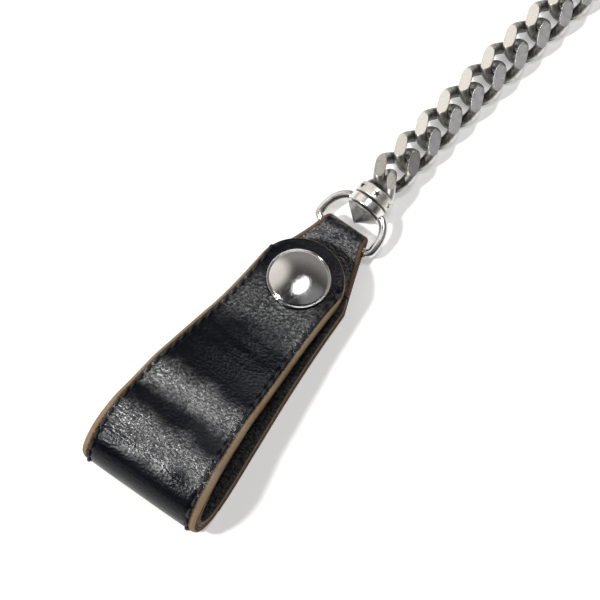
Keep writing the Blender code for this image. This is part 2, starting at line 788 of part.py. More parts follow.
def main():
    clear_scene()
    leather = make_material("black_leather", (0.012, 0.012, 0.016), 0.42, 0.0)
    lining = make_material("dark_lining", (0.03, 0.018, 0.012), 0.6, 0.0)
    polished = make_material("polished_nickel", (0.78, 0.77, 0.75), 0.12, 1.0)
    brushed = make_material("brushed_silver", (0.55, 0.54, 0.51), 0.38, 1.0)
    steel = make_material("spring_steel", (0.45, 0.45, 0.46), 0.3, 1.0)
    dark = make_material("guide", (0.1, 0.1, 0.1), 0.5, 0.0)
    leathers = make_leather(leather, lining)
    make_snap(leathers, polished, dark)
    make_ring_and_swivel(polished, brushed, dark)
    make_chain(brushed)
    make_clasp(brushed, steel, dark)


main()
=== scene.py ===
"""Looks of the wallet chain: folded leather belt loop with a snap, swivelling ring, curb chain and clasp."""

import json
import math

import bmesh
import bpy
import numpy as np
from mathutils import Matrix, Vector, noise


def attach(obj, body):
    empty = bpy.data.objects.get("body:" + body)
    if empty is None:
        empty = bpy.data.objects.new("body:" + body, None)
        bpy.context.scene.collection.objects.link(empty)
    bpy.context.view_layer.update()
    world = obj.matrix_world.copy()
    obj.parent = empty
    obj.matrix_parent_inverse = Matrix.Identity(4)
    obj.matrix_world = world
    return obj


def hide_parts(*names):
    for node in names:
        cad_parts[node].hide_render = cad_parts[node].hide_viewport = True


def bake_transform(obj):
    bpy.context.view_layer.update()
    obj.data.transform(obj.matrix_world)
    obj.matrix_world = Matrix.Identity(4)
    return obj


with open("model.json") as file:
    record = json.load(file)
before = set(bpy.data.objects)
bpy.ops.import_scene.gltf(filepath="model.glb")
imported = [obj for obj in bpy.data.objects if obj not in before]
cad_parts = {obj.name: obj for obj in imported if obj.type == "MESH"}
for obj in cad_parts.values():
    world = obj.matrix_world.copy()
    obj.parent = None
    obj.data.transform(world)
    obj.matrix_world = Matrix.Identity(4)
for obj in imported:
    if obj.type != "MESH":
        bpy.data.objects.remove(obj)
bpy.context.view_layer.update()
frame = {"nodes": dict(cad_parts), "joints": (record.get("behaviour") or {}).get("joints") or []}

MM = 0.001
GAP = 0.3 * MM

# Leather strap, as the frame has it
OUTER_T = 1.5 * MM
LINING_T = 1.3 * MM
FOLD_X = -32.2 * MM
LOOP_H = 17.0 * MM
SNAP_X = 30.0 * MM
SNAP_Z = 8.6 * MM
FLAP_SNAP_HALF = 10.9 * MM
FLAP_OUTLINE = (  # mm: x, half width to the left, half width to the right
    (-32.2, 16.1, 16.0),
    (-26.0, 16.7, 15.2),
    (-19.0, 16.8, 14.0),
    (-12.0, 16.2, 13.1),
    (-5.0, 15.5, 12.4),
    (2.0, 14.4, 12.0),
    (9.0, 13.2, 11.6),
    (16.0, 12.0, 11.2),
    (23.0, 11.3, 11.0),
    (30.0, 10.9, 10.9),
)
BACK_OUTLINE = (
    (-32.2, 16.1, 16.0),
    (-26.0, 16.3, 16.3),
    (-20.0, 16.0, 16.0),
    (-6.5, 14.7, 14.7),
    (7.5, 13.3, 13.3),
    (21.5, 12.3, 12.3),
    (32.0, 11.9, 11.9),
)
BAND_OUTLINE = (  # mm: x, width of the bare band along the left edge, and along the right one
    (-32.2, 1.7, 1.7),
    (-24.0, 1.5, 2.0),
    (-14.0, 1.1, 1.7),
    (0.0, 0.95, 1.3),
    (20.0, 0.9, 1.05),
    (29.0, 0.7, 0.9),
    (34.0, 0.35, 0.4),
    (40.9, 0.25, 0.25),
)
LINING_INSET = 0.2 * MM
TAB_START = 32.0 * MM
TAB_END = 50.0 * MM
TAB_HALF = 4.9 * MM
LINING_END = 35.0 * MM
SPLIT_X = -23.0 * MM  # where the folding part of the strap meets the flat part
LEVEL_PAST = 4.0 * MM  # how far past the snap's middle the flap starts to level out
TAB_LEAN = math.radians(24.0)  # how steeply the tab climbs over the ring's bar
FOLD_STEPS = 48
FLAP_STEPS = 60
TIP_STEPS = 12
FLAP_BULGE = 1.2 * MM  # how far the flap bows up near the fold
FOLD_SQUARE = 0.035  # how much the fold bulges out at its two corners

# Stitching
STITCH_INSET = 1.6 * MM
STITCH_IN = 0.5 * MM  # from the bare band to the flap's stitches
STITCH_PITCH = 2.75 * MM
STITCH_LENGTH = 2.0 * MM
THREAD_R = 0.42 * MM
STITCH_END = 34.0 * MM

# Ring and swivel
WIRE_R = 1.05 * MM
BAR_PLAY = 0.4 * MM
BAR_Y = -0.4 * MM
RING_HALF = 7.9 * MM
RING_DEPTH = 8.8 * MM
RING_CORNER = 1.7 * MM
RING_OVER = 0.9 * MM
RING_SQUARE = 2.5
BOSS_R = 4.65 * MM
BOSS_T = 2.2 * MM
HEAD_L = 3.4 * MM
HEAD_R = 4.25 * MM
SHANK_R = 1.3 * MM
SHANK_END = 3.9 * MM
BARREL_R = 4.55 * MM
BARREL_START = 1.6 * MM
BARREL_END = 4.5 * MM
EYE_CENTRE = 3.6 * MM
EYE_A = 6.1 * MM
EYE_B = 3.5 * MM
EYE_R = 1.15 * MM
EYE_ROLL = math.radians(-12.0)
EYE_YAW = math.radians(5.0)
STARS = 6
STAR_R = 1.0 * MM
STAR_DEPTH = 0.35 * MM

# Curb chain
PITCH = 7.5 * MM
LINK_R = 1.33 * MM
LINK_A = 5.35 * MM
LINK_B = 3.7 * MM
LINK_TWIST = math.radians(50.0)
LINK_SQUARE = 2.5
FACET_TILT = math.radians(17.0)
FACET_Y = 2.6 * MM  # from the chain's middle plane to a facet's middle line
FACET_H = 2.3 * MM  # height of the facets' middle line over the chain's middle

# Snap
CAP_R = 7.5 * MM
CAP_H = 2.4 * MM
SOCKET_R = 4.6 * MM
STUD_R = 2.8 * MM

# Clasp
CLASP_BARREL = 5.0 * MM
CLASP_R = 3.1 * MM
HOOK_R = 1.7 * MM
HOOK_HALF = 6.0 * MM
HOOK_START = 13.0 * MM
HOOK_END = 31.0 * MM
GATE_X = 15.5 * MM
STEM_R = 1.5 * MM
BOW_R = 1.0 * MM
BORE_R = 0.95 * MM
LEAF = ((13.4, 2.6), (15.2, 3.2), (17.4, 3.7), (19.8, 4.05))  # mm: x and y of the gate spring's underside

BOX_FACES = [(0, 3, 2, 1), (4, 5, 6, 7), (0, 1, 5, 4), (1, 2, 6, 5), (2, 3, 7, 6), (3, 0, 4, 7)]

# Camera
ELEVATION = math.radians(72.0)
AZIMUTH = math.radians(54.0)
CAMERA_DISTANCE = 1.5
AIM = Vector((SNAP_X, 0.0, 10.7 * MM))
AIM_RIGHT = 0.48 * MM
AIM_DOWN = 4.54 * MM
LENS = 391.0

FLOOR_HALF = 2.5

JOINTS = {joint["name"]: joint for joint in frame["joints"]}


# ---------------------------------------------------------------- mesh helpers


def build(name, verts, faces, materials, smooth_angle=35.0, indices=None, weld=0.0, attributes=None):
    """A mesh object in the row frame. attributes maps a name to one value, or vector, per vertex."""
    mesh = bpy.data.meshes.new(name)
    mesh.from_pydata([tuple(v) for v in verts], [], faces)
    for key, values in (attributes or {}).items():
        values = np.asarray(values, dtype=np.float32)
        kind = "FLOAT_VECTOR" if values.ndim == 2 else "FLOAT"
        layer = mesh.attributes.new(key, kind, "POINT")
        layer.data.foreach_set("vector" if values.ndim == 2 else "value", values.ravel())
    for material in materials:
        mesh.materials.append(material)
    if indices is not None:
        mesh.polygons.foreach_set("material_index", indices)
    work = bmesh.new()
    work.from_mesh(mesh)
    if weld:
        bmesh.ops.remove_doubles(work, verts=work.verts, dist=weld)
    bmesh.ops.recalc_face_normals(work, faces=work.faces)
    work.to_mesh(mesh)
    work.free()
    mesh.shade_smooth()
    mesh.set_sharp_from_angle(angle=math.radians(smooth_angle))
    item = bpy.data.objects.new(name, mesh)
    bpy.context.scene.collection.objects.link(item)
    return item


def loft(rings, closed=False):
    count = len(rings[0])
    verts = [v for ring in rings for v in ring]
    faces = []
    spans = len(rings) if closed else len(rings) - 1
    for i in range(spans):
        a = i * count
        b = ((i + 1) % len(rings)) * count
        for k in range(count):
            n = (k + 1) % count
            faces.append((a + k, a + n, b + n, b + k))
    if not closed:
        faces.append(tuple(range(count)))
        last = (len(rings) - 1) * count
        faces.append(tuple(last + k for k in reversed(range(count))))
    return verts, faces


def turned(profile, steps, place, closed_profile=False):
    """A solid of revolution round local +X from (x, radius) points."""
    rings = []
    for x, radius in profile:
        ring = []
        for k in range(steps):
            a = 2 * math.pi * k / steps
            ring.append(place @ Vector((x, radius * math.cos(a), radius * math.sin(a))))
        rings.append(ring)
    return loft(rings, closed_profile)


def rounded(profile, radius, steps=4, closed=False):
    """The (x, r) profile with each corner replaced by a small arc."""
    points = []
    count = len(profile)
    for i, corner in enumerate(profile):
        if not closed and i in (0, count - 1):
            points.append(tuple(corner))
            continue
        here = Vector((corner[0], corner[1]))
        before = Vector(profile[i - 1]) - here
        after = Vector(profile[(i + 1) % count]) - here
        cut = min(radius, before.length * 0.45, after.length * 0.45)
        start = here + before.normalized() * cut
        end = here + after.normalized() * cut
        for k in range(steps + 1):
            t = k / steps
            p = start * (1 - t) ** 2 + here * 2 * t * (1 - t) + end * t * t
            points.append((p.x, p.y))
    return points


def swept(points, radius, sides, closed, up, place=None, square=2.0):
    """A wire along the points. radius may be a list, one for each point."""
    place = place or Matrix()
    rings = []
    count = len(points)
    for i, point in enumerate(points):
        before = points[i - 1] if closed or i else point
        after = points[(i + 1) % count] if closed or i + 1 < count else point
        along = (after - before).normalized()
        side = along.cross(up).normalized()
        over = side.cross(along)
        size = radius[i] if isinstance(radius, list) else radius
        ring = []
        for k in range(sides):
            a = 2 * math.pi * (k + 0.5) / sides
            c = math.copysign(abs(math.cos(a)) ** (2 / square), math.cos(a))
            s = math.copysign(abs(math.sin(a)) ** (2 / square), math.sin(a))
            ring.append(place @ (point + size * (c * side + s * over)))
        rings.append(ring)
    return loft(rings, closed)


def boolean(target, cutter, operation="DIFFERENCE", keep_material=False):
    """Applies the boolean at once and removes the cutter."""
    modifier = target.modifiers.new("cut", "BOOLEAN")
    modifier.operation = operation
    modifier.solver = "EXACT"
    modifier.object = cutter
    if keep_material:
        modifier.material_mode = "TRANSFER"
    graph = bpy.context.evaluated_depsgraph_get()
    mesh = bpy.data.meshes.new_from_object(target.evaluated_get(graph))
    target.modifiers.remove(modifier)
    old = target.data
    target.data = mesh
    bpy.data.meshes.remove(old)
    bpy.data.objects.remove(cutter, do_unlink=True)


def resmooth(item, angle):
    item.data.shade_smooth()
    item.data.set_sharp_from_angle(angle=math.radians(angle))


def smoothstep(t):
    t = max(0.0, min(1.0, t))
    return t * t * (3 - 2 * t)


# ---------------------------------------------------------------- materials


class Nodes:
    """Short calls to make a node tree."""

    def __init__(self, name):
        self.material = bpy.data.materials.new(name)
        self.material.use_nodes = True
        self.tree = self.material.node_tree
        self.shader = self.tree.nodes["Principled BSDF"]

    def add(self, kind, inputs=None, **settings):
        node = self.tree.nodes.new(kind)
        for key, value in settings.items():
            setattr(node, key, value)
        for key, value in (inputs or {}).items():
            self.put(node.inputs[key], value)
        return node

    def put(self, socket, value):
        if isinstance(value, bpy.types.NodeSocket):
            self.tree.links.new(value, socket)
        else:
            socket.default_value = value

    def set(self, key, value):
        self.put(self.shader.inputs[key], value)

    def math(self, operation, a, b=0.0):
        node = self.add("ShaderNodeMath", operation=operation)
        self.put(node.inputs[0], a)
        self.put(node.inputs[1], b)
        return node.outputs[0]

    def times(self, a, b):
        return self.math("MULTIPLY", a, b)

    def plus(self, a, b):
        return self.math("ADD", a, b)

    def range(self, value, low, high, to_low=0.0, to_high=1.0):
        node = self.add("ShaderNodeMapRange", interpolation_type="SMOOTHSTEP")
        self.put(node.inputs["Value"], value)
        node.inputs["From Min"].default_value = low
        node.inputs["From Max"].default_value = high
        node.inputs["To Min"].default_value = to_low
        node.inputs["To Max"].default_value = to_high
        return node.outputs[0]

    def mix(self, factor, a, b):
        node = self.add("ShaderNodeMix", data_type="RGBA")
        self.put(node.inputs[0], factor)
        self.put(node.inputs[6], a)
        self.put(node.inputs[7], b)
        return node.outputs[2]

    def noise(self, vector, scale, detail=3.0, roughness=0.5, distortion=0.0):
        inputs = {"Scale": scale, "Detail": detail, "Roughness": roughness, "Distortion": distortion}
        node = self.add("ShaderNodeTexNoise", inputs)
        self.put(node.inputs["Vector"], vector)
        return node.outputs["Fac"]

    def voronoi(self, vector, scale):
        node = self.add("ShaderNodeTexVoronoi", {"Scale": scale})
        self.put(node.inputs["Vector"], vector)
        return node.outputs["Distance"]

    def stretch(self, vector, scale):
        node = self.add("ShaderNodeMapping")
        self.put(node.inputs["Vector"], vector)
        node.inputs["Scale"].default_value = scale
        return node.outputs[0]

    def attribute(self, name, output="Fac"):
        node = self.add("ShaderNodeAttribute", attribute_name=name)
        return node.outputs[output]

    def place(self):
        return self.add("ShaderNodeTexCoord").outputs["Object"]

    def bump(self, height, distance, strength):
        inputs = {"Strength": strength, "Distance": distance, "Height": height}
        return self.add("ShaderNodeBump", inputs).outputs[0]


def rgb(r, g, b):
    return (r, g, b, 1.0)


def leather_material(name, face, face_light, edge, edge_dark, shine, gloss, painted_sheen_bands=()):
    """Grained leather. The attribute "edge" is the distance from the cut edge, as a share of its bare band.

    The attribute "flat" is the place on the strap laid flat, in mm.
    The bands given last list places along the strap with a painted sheen, a raised specular level and
    stronger grain set where highlights fall: (middle and reach in mm, strength).
    """
    n = Nodes(name)
    flat = n.attribute("flat", "Vector")
    wide = n.noise(flat, 0.09, 2.0)
    cells = n.voronoi(n.stretch(flat, (1.25, 0.8, 1.0)), 1.5)
    fine = n.noise(flat, 5.5, 3.0, 0.6)
    wrinkle = n.noise(n.stretch(flat, (1.5, 0.16, 0.5)), 1.0, 3.0, 0.6, 0.3)
    ragged = n.noise(flat, 1.8, 4.0, 0.65)
    distance = n.attribute("edge")
    border = n.plus(distance, n.times(n.math("SUBTRACT", ragged, 0.5), 0.8))
    on_face = n.range(border, 0.86, 1.1)
    fibre = n.noise(n.stretch(flat, (0.35, 3.0, 7.0)), 1.6, 4.0, 0.7)
    blotch = n.noise(flat, 0.3, 3.0)
    edge_mix = n.plus(n.times(fibre, 0.4), n.times(blotch, 0.6))
    edge_colour = n.mix(n.range(edge_mix, 0.45, 0.75), edge, n.mix(0.5, edge, edge_dark))
    near = n.range(border, 0.62, 0.95)
    edge_colour = n.mix(near, edge_colour, edge_dark)
    under = n.range(distance, 0.0, 0.12, 1.0, 0.0)
    edge_colour = n.mix(under, edge_colour, edge_dark)
    face_colour = n.mix(n.range(fine, 0.35, 0.75), face, face_light)
    n.set("Base Color", n.mix(on_face, edge_colour, face_colour))
    rough = n.range(wide, 0.3, 0.7, shine - 0.04, shine + 0.07)
    edge_rough = n.range(fibre, 0.3, 0.7, 0.5, 0.72)
    rough_mix = n.add("ShaderNodeMix", data_type="FLOAT")
    n.put(rough_mix.inputs[0], on_face)
    n.put(rough_mix.inputs[2], edge_rough)
    n.put(rough_mix.inputs[3], rough)
    n.set("Roughness", rough_mix.outputs[0])
    split = n.add("ShaderNodeSeparateXYZ")
    n.put(split.inputs[0], flat)
    shift = n.times(n.math("SUBTRACT", n.noise(flat, 0.16, 3.0), 0.5), 7.0)
    place = n.plus(split.outputs[0], shift)
    # Painted sheen: in the listed bands along the strap, placed where highlights fall, the specular level and
    # the grain's bump are raised; with no bands the whole piece gets the full level.
    painted_sheen = 1.0 if not painted_sheen_bands else 0.0
    for middle, reach, strength in painted_sheen_bands:
        away = n.math("ABSOLUTE", n.math("SUBTRACT", place, middle))
        painted_sheen = n.math("MAXIMUM", painted_sheen, n.range(away, reach * 0.1, reach, strength, 0.0))
    speck = n.noise(n.stretch(flat, (2.8, 1.3, 1.0)), 1.0, 3.0, 0.65)
    sparkle = n.range(n.plus(speck, n.times(cells, 0.12)), 0.42, 0.70, 0.3, 1.75)
    shown = n.times(n.plus(n.times(painted_sheen, sparkle), 0.09), gloss)
    mostly_face = n.plus(n.times(on_face, 0.8), 0.2)
    n.set("Specular IOR Level", n.times(shown, mostly_face))
    grain = n.plus(n.times(cells, 0.75), n.times(fine, 0.5))
    grain = n.plus(grain, n.times(wrinkle, 0.9))
    grain = n.times(grain, mostly_face)
    grain = n.times(grain, n.plus(n.times(painted_sheen, 0.7), 0.45))
    n.set("IOR", 1.7)
    n.set("Normal", n.bump(grain, 0.00017, 0.9))
    return n.material


def thread_material():
    n = Nodes("black_thread")
    place = n.place()
    twist = n.add("ShaderNodeTexWave", {"Scale": 900.0, "Distortion": 1.5}, bands_direction="DIAGONAL")
    n.put(twist.inputs["Vector"], place)
    fuzz = n.noise(place, 4000.0, 2.0)
    n.set("Base Color", n.mix(fuzz, rgb(0.004, 0.004, 0.006), rgb(0.012, 0.012, 0.015)))
    n.set("Roughness", 0.62)
    n.set("Normal", n.bump(twist.outputs["Fac"], 0.00008, 0.8))
    return n.material


def polished_material():
    n = Nodes("polished_nickel")
    place = n.place()
    haze = n.noise(place, 260.0, 4.0, 0.6)
    n.set("Base Color", n.mix(haze, rgb(0.66, 0.65, 0.63), rgb(0.78, 0.77, 0.745)))
    n.set("Metallic", 1.0)
    n.set("Roughness", n.range(haze, 0.3, 0.75, 0.2, 0.3))
    scuffs = n.noise(n.stretch(place, (900.0, 3500.0, 900.0)), 1.0, 2.0)
    n.set("Normal", n.bump(scuffs, 0.000004, 0.5))
    return n.material


def cap_material():
    """Mirror finish with faint scratches from the middle out. "spoke" is the place on the cap in mm."""
    n = Nodes("snap_polish")
    spoke = n.attribute("spoke", "Vector")
    split = n.add("ShaderNodeSeparateXYZ")
    n.put(split.inputs[0], spoke)
    angle = n.math("ARCTAN2", split.outputs[1], split.outputs[0])
    radius = n.add("ShaderNodeVectorMath", operation="LENGTH")
    n.put(radius.inputs[0], spoke)
    polar = n.add("ShaderNodeCombineXYZ")
    n.put(polar.inputs[0], n.times(angle, 22.0))
    n.put(polar.inputs[1], n.times(radius.outputs["Value"], 0.35))
    streaks = n.noise(polar.outputs[0], 1.6, 4.0, 0.7)
    pits = n.noise(spoke, 7.0, 3.0, 0.7)
    mixed = n.plus(n.times(streaks, 0.6), n.times(pits, 0.4))
    n.set("Base Color", rgb(0.60, 0.595, 0.585))
    n.set("Metallic", 1.0)
    n.set("Roughness", n.range(mixed, 0.40, 0.66, 0.06, 0.26))
    n.set("Normal", n.bump(mixed, 0.00003, 0.5))
    return n.material


def silver_material(name, dark, light, rough_low, rough_high, brush, oxide=True):
    """Cast silver. The attribute "wear" is 0 in the recesses, which stay oxidised, and 1 where it rubs."""
    n = Nodes(name)
    place = n.place()
    mottle = n.noise(place, 420.0, 5.0, 0.65)
    grain = n.noise(n.stretch(place, brush), 1.0, 3.0, 0.6)
    blend = n.plus(n.times(n.math("SUBTRACT", mottle, 0.5), 0.9), n.attribute("wear"))
    worn = n.range(blend, 0.1, 0.9) if oxide else n.range(mottle, 0.2, 0.6)
    colour = n.mix(worn, dark, light)
    n.set("Base Color", n.mix(n.range(grain, 0.35, 0.7), colour, n.mix(0.25, colour, rgb(0.9, 0.88, 0.84))))
    n.set("Metallic", 1.0)
    n.set("Roughness", n.range(mottle, 0.3, 0.7, rough_low, rough_high))
    n.set("Normal", n.bump(n.plus(grain, mottle), 0.00003, 0.6))
    return n.material


def steel_material():
    n = Nodes("spring_steel")
    place = n.place()
    grain = n.noise(n.stretch(place, (400.0, 2500.0, 2500.0)), 1.0, 3.0)
    n.set("Base Color", n.mix(grain, rgb(0.42, 0.42, 0.43), rgb(0.56, 0.56, 0.57)))
    n.set("Metallic", 1.0)
    n.set("Roughness", n.range(grain, 0.3, 0.7, 0.22, 0.36))
    n.set("Normal", n.bump(grain, 0.00001, 0.5))
    return n.material


FACE = rgb(0.0016, 0.0020, 0.0042)
FACE_LIGHT = rgb(0.0030, 0.0037, 0.0072)
PAINTED_SHEEN_BANDS = ((25.0, 5.4, 1.0), (38.6, 5.6, 1.0), (67.0, 9.5, 0.55))  # painted sheen: bands along the strap where the leather's specular level is raised; see leather_material
LEATHER = leather_material(
    "black_leather", FACE, FACE_LIGHT, rgb(0.25, 0.18, 0.11), rgb(0.085, 0.052, 0.03), 0.22, 1.0,
    PAINTED_SHEEN_BANDS,
)
# Painted shade: the back of the strap is a copy of the flap's leather with darker edge colours, standing in
# for the shade under the loop.
BACK_LEATHER_PAINTED_SHADE = leather_material(
    "back_leather_painted_shade", FACE, FACE_LIGHT, rgb(0.15, 0.09, 0.055), rgb(0.06, 0.033, 0.02), 0.26, 0.35
)
LINING = leather_material(
    "lining_leather",
    rgb(0.006, 0.0045, 0.004),
    rgb(0.014, 0.010, 0.008),
    rgb(0.24, 0.17, 0.115),
    rgb(0.10, 0.06, 0.035),
    0.55,
    0.3,
)
THREAD = thread_material()
NICKEL = polished_material()
CAP_POLISH = cap_material()
SILVER_BODY = silver_material(
    "oxidised_silver", rgb(0.085, 0.08, 0.07), rgb(0.66, 0.645, 0.61), 0.36, 0.5, (900.0, 900.0, 900.0)
)
SILVER_FLAT = silver_material(
    "ground_silver",
    rgb(0.60, 0.585, 0.55),
    rgb(0.76, 0.745, 0.71),
    0.17,
    0.26,
    (500.0, 4200.0, 500.0),
    oxide=False,
)
STAR_DARK = silver_material(
    "stamped_recess", rgb(0.008, 0.0075, 0.007), rgb(0.02, 0.019, 0.018), 0.6, 0.8, (800.0, 800.0, 800.0)
)
STEEL = steel_material()


def finish_piece(item, node, body):
    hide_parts(node)
    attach(item, body)


def turned_piece(name, profile, steps, place, material, closed, node, body):
    verts, faces = turned(profile, steps, place, closed)
    finish_piece(build(name, verts, faces, [material], 40.0), node, body)


# ---------------------------------------------------------------- leather


def along_table(table, x):
    """The table's two values at x in metres, on a smooth curve through its points."""
    rows = np.array(table)
    slopes = np.gradient(rows[:, 1:], rows[:, 0], axis=0)
    at = min(max(x / MM, rows[0, 0]), rows[-1, 0])
    i = min(len(rows) - 2, int(np.searchsorted(rows[:, 0], at, side="right")) - 1)
    step = rows[i + 1, 0] - rows[i, 0]
    t = (at - rows[i, 0]) / step
    low = rows[i, 1:] * (1 + 2 * t) * (1 - t) ** 2 + slopes[i] * step * t * (1 - t) ** 2
    high = rows[i + 1, 1:] * t * t * (3 - 2 * t) + slopes[i + 1] * step * t * t * (t - 1)
    return tuple((low + high) * MM)


def flap_halves(x):
    return along_table(FLAP_OUTLINE, x)


def back_halves(x):
    wide = along_table(BACK_OUTLINE, x)
    t = max(0.0, min(1.0, (x - TAB_START) / (TAB_END - TAB_START)))
    return tuple(half + (TAB_HALF - half) * t for half in wide)


SEAM_Z = OUTER_T + GAP / 2
FOLD_R = (LOOP_H - 2 * SEAM_Z) / 2
FOLD_CX = FOLD_X + SEAM_Z + FOLD_R
FOLD_CZ = SEAM_Z + FOLD_R
FOLD_REACH = math.hypot(SNAP_X - FOLD_CX, SNAP_Z - FOLD_CZ)
SLOPE = math.asin(FOLD_R / FOLD_REACH) - math.atan2(SNAP_Z - FOLD_CZ, SNAP_X - FOLD_CX)
BAR = Vector(JOINTS["ring_swing"]["pos_m"])


def tab_sway(x):
    t = max(0.0, (x - TAB_START) / (BAR.x - TAB_START))
    return BAR_Y * t * t


class Path:
    """A bent strap's middle line in the XZ plane, with the half width and sideways shift along it."""

    def __init__(self, stations):
        self.rows = np.array(stations)
        steps = np.hypot(np.diff(self.rows[:, 0]), np.diff(self.rows[:, 1]))
        self.s = np.concatenate([[0.0], np.cumsum(steps)])

    def at(self, s):
        """x, z, normal angle, half widths to the left and right, and sway at the length s."""
        return [float(np.interp(s, self.s, self.rows[:, k])) for k in range(6)]

    def half(self, s, side):
        return self.at(s)[3 if side > 0 else 4]

    def s_at_x(self, x, first):
        """The length at which the line is at x, looking only from the length first."""
        keep = self.s >= first
        return float(np.interp(x, self.rows[keep, 0], self.s[keep]))

    def s_at_x_back(self, x):
        """The length at which a line that runs towards -X is at x."""
        order = np.argsort(self.rows[:, 0])
        return float(np.interp(x, self.rows[order, 0], self.s[order]))

    def point(self, s, y, height):
        x, z, angle, _, _, sway = self.at(s)
        return Vector((x + height * math.cos(angle), y + sway, z + height * math.sin(angle)))


def bow_shape(t):
    """The flap's bow from 0 at the fold, through its highest place, to 0 by the snap."""
    return 16 * (t * (1 - t)) ** 2 * math.exp(-2.2 * t)


def fold_path():
    """From the flat back, round the fold and along the flap to the middle of the snap, then on to the tip."""
    rows = []
    for x in np.linspace(SPLIT_X, FOLD_CX, 3)[:-1]:
        rows.append((x, SEAM_Z, -math.pi / 2, *back_halves(x), 0.0))
    end = math.pi / 2 - SLOPE
    start = -math.pi / 2
    turn = 2 * math.pi - (end - start)
    for i in range(FOLD_STEPS + 1):
        a = start - turn * i / FOLD_STEPS
        square = 1 + FOLD_SQUARE * math.sin(2 * a) ** 2
        x = FOLD_CX + FOLD_R * square * math.cos(a)
        z = FOLD_CZ + FOLD_R * square * math.sin(a)
        halves = back_halves(x) if a > -math.pi else flap_halves(x)
        rows.append((x, z, a, *halves, 0.0))
    x0, z0, a0 = rows[-1][0], rows[-1][1], rows[-1][2]
    level_from = SNAP_X + LEVEL_PAST
    for i in range(1, FLAP_STEPS + 1):
        t = i / FLAP_STEPS
        x = x0 + (level_from - x0) * t
        rise = bow_shape(t)
        before = bow_shape(t - 0.01)
        bow = FLAP_BULGE * rise
        tilt = math.atan((rise - before) * FLAP_BULGE / (0.01 * (level_from - x0)))
        z = z0 - (x - x0) * math.tan(SLOPE) + bow
        rows.append((x, z, a0 + tilt, *flap_halves(x), 0.0))
    x1, z1 = rows[-1][0], rows[-1][1]
    run_all = SNAP_X + FLAP_SNAP_HALF - x1
    for i in range(1, TIP_STEPS + 1):
        t = i / TIP_STEPS
        run = run_all * t
        tilt = SLOPE * (1 - 0.8 * t)
        drop = run * math.tan(SLOPE * (1 - 0.4 * t))
        rows.append((x1 + run, z1 - drop, a0 + SLOPE - tilt, FLAP_SNAP_HALF, FLAP_SNAP_HALF, 0.0))
    return Path(rows)


def tab_path():
    """From the lining's end on top, round the ring's bar and back along the flat back."""
    inner = WIRE_R + BAR_PLAY
    radius = inner - GAP / 2
    bar_z = OUTER_T + inner
    top_end = LINING_END + GAP
    x_touch = BAR.x + radius * math.cos(math.pi / 2 + TAB_LEAN)
    z_touch = bar_z + radius * math.sin(math.pi / 2 + TAB_LEAN)
    rows = []
    for i in range(16):
        t = i / 16
        x = top_end + (x_touch - top_end) * t
        rise = t * t * (0.35 + 0.65 * t)
        z = SEAM_Z + (z_touch - SEAM_Z) * rise
        rows.append((x, z, math.pi / 2 + TAB_LEAN * smoothstep(t * 1.1), *back_halves(x), tab_sway(x)))
    for i in range(33):
        a = math.pi / 2 + TAB_LEAN - (math.pi + TAB_LEAN) * i / 32
        x = BAR.x + radius * math.cos(a)
        rows.append((x, bar_z + radius * math.sin(a), a, *back_halves(x), tab_sway(x)))
    for x in np.linspace(BAR.x, TAB_START, 16)[1:]:
        rows.append((x, SEAM_Z, -math.pi / 2, *back_halves(x), tab_sway(x)))
    for x in np.linspace(TAB_START, SPLIT_X, 30)[1:]:
        rows.append((x, SEAM_Z, -math.pi / 2, *back_halves(x), 0.0))
    return Path(rows)


def flat_path(end):
    places = np.linspace(end, SPLIT_X, 60)
    rows = [(x, SEAM_Z, -math.pi / 2, *back_halves(x), tab_sway(x)) for x in places]
    return Path(rows)


EDGE_STEPS = 7
INNER_STEPS = 30


def section_points(low, high, round_out, round_in):
    """(inset from the edge, height) down one edge of a layer, from the top face to the bottom face."""
    points = []
    top_wide, top_deep = round_out
    for k in range(EDGE_STEPS + 1):
        a = math.pi / 2 * k / EDGE_STEPS
        points.append((top_wide * (1 - math.sin(a)), high - top_deep * (1 - math.cos(a))))
    low_wide, low_deep = round_in
    for k in range(EDGE_STEPS + 1):
        a = math.pi / 2 * k / EDGE_STEPS
        points.append((low_wide * (1 - math.cos(a)), low + low_deep * (1 - math.sin(a))))
    return points


def dimple(distance, s, bare, rows):
    """Depth of the dip that a stitch hole makes in the leather. bare is the width of the bare band."""
    depth = 0.0
    for start, stop in rows:
        across = (distance - bare - STITCH_IN) / (0.62 * MM)
        if abs(across) > 2.2 or not start - MM < s < stop + MM:
            continue
        phase = (s - start) / STITCH_PITCH
        along = (phase - round(phase)) * STITCH_PITCH / (0.6 * MM)
        hole = math.exp(-along * along)
        depth += math.exp(-across * across) * (0.35 + hole) * 0.3 * MM
    return depth


def swell(x, y):
    """How far the flap's worn leather rises: folds across it near the bend, fine wrinkles near the snap."""
    fold = smoothstep((x + 24 * MM) / (6 * MM)) * smoothstep((6 * MM - x) / (10 * MM))
    ripple = math.sin(2 * math.pi * (x + 8.7 * MM) / (15 * MM))
    crown = (y / (14 * MM)) ** 2 * smoothstep((x + 32 * MM) / (6 * MM))
    crown *= smoothstep((24 * MM - x) / (12 * MM))
    crease = smoothstep((x - 2 * MM) / (8 * MM)) * smoothstep((27 * MM - x) / (5 * MM))
    fine = noise.noise(Vector((x / (1.7 * MM), y / (9 * MM), 5.5)))
    wide = noise.noise(Vector((x / (11 * MM), y / (15 * MM), 3.1)))
    small = noise.noise(Vector((x / (3.6 * MM), y / (5.5 * MM), 8.7)))
    return (0.2 * fold * ripple - 0.45 * crown + 0.13 * crease * fine + 0.12 * wide + 0.07 * small) * MM


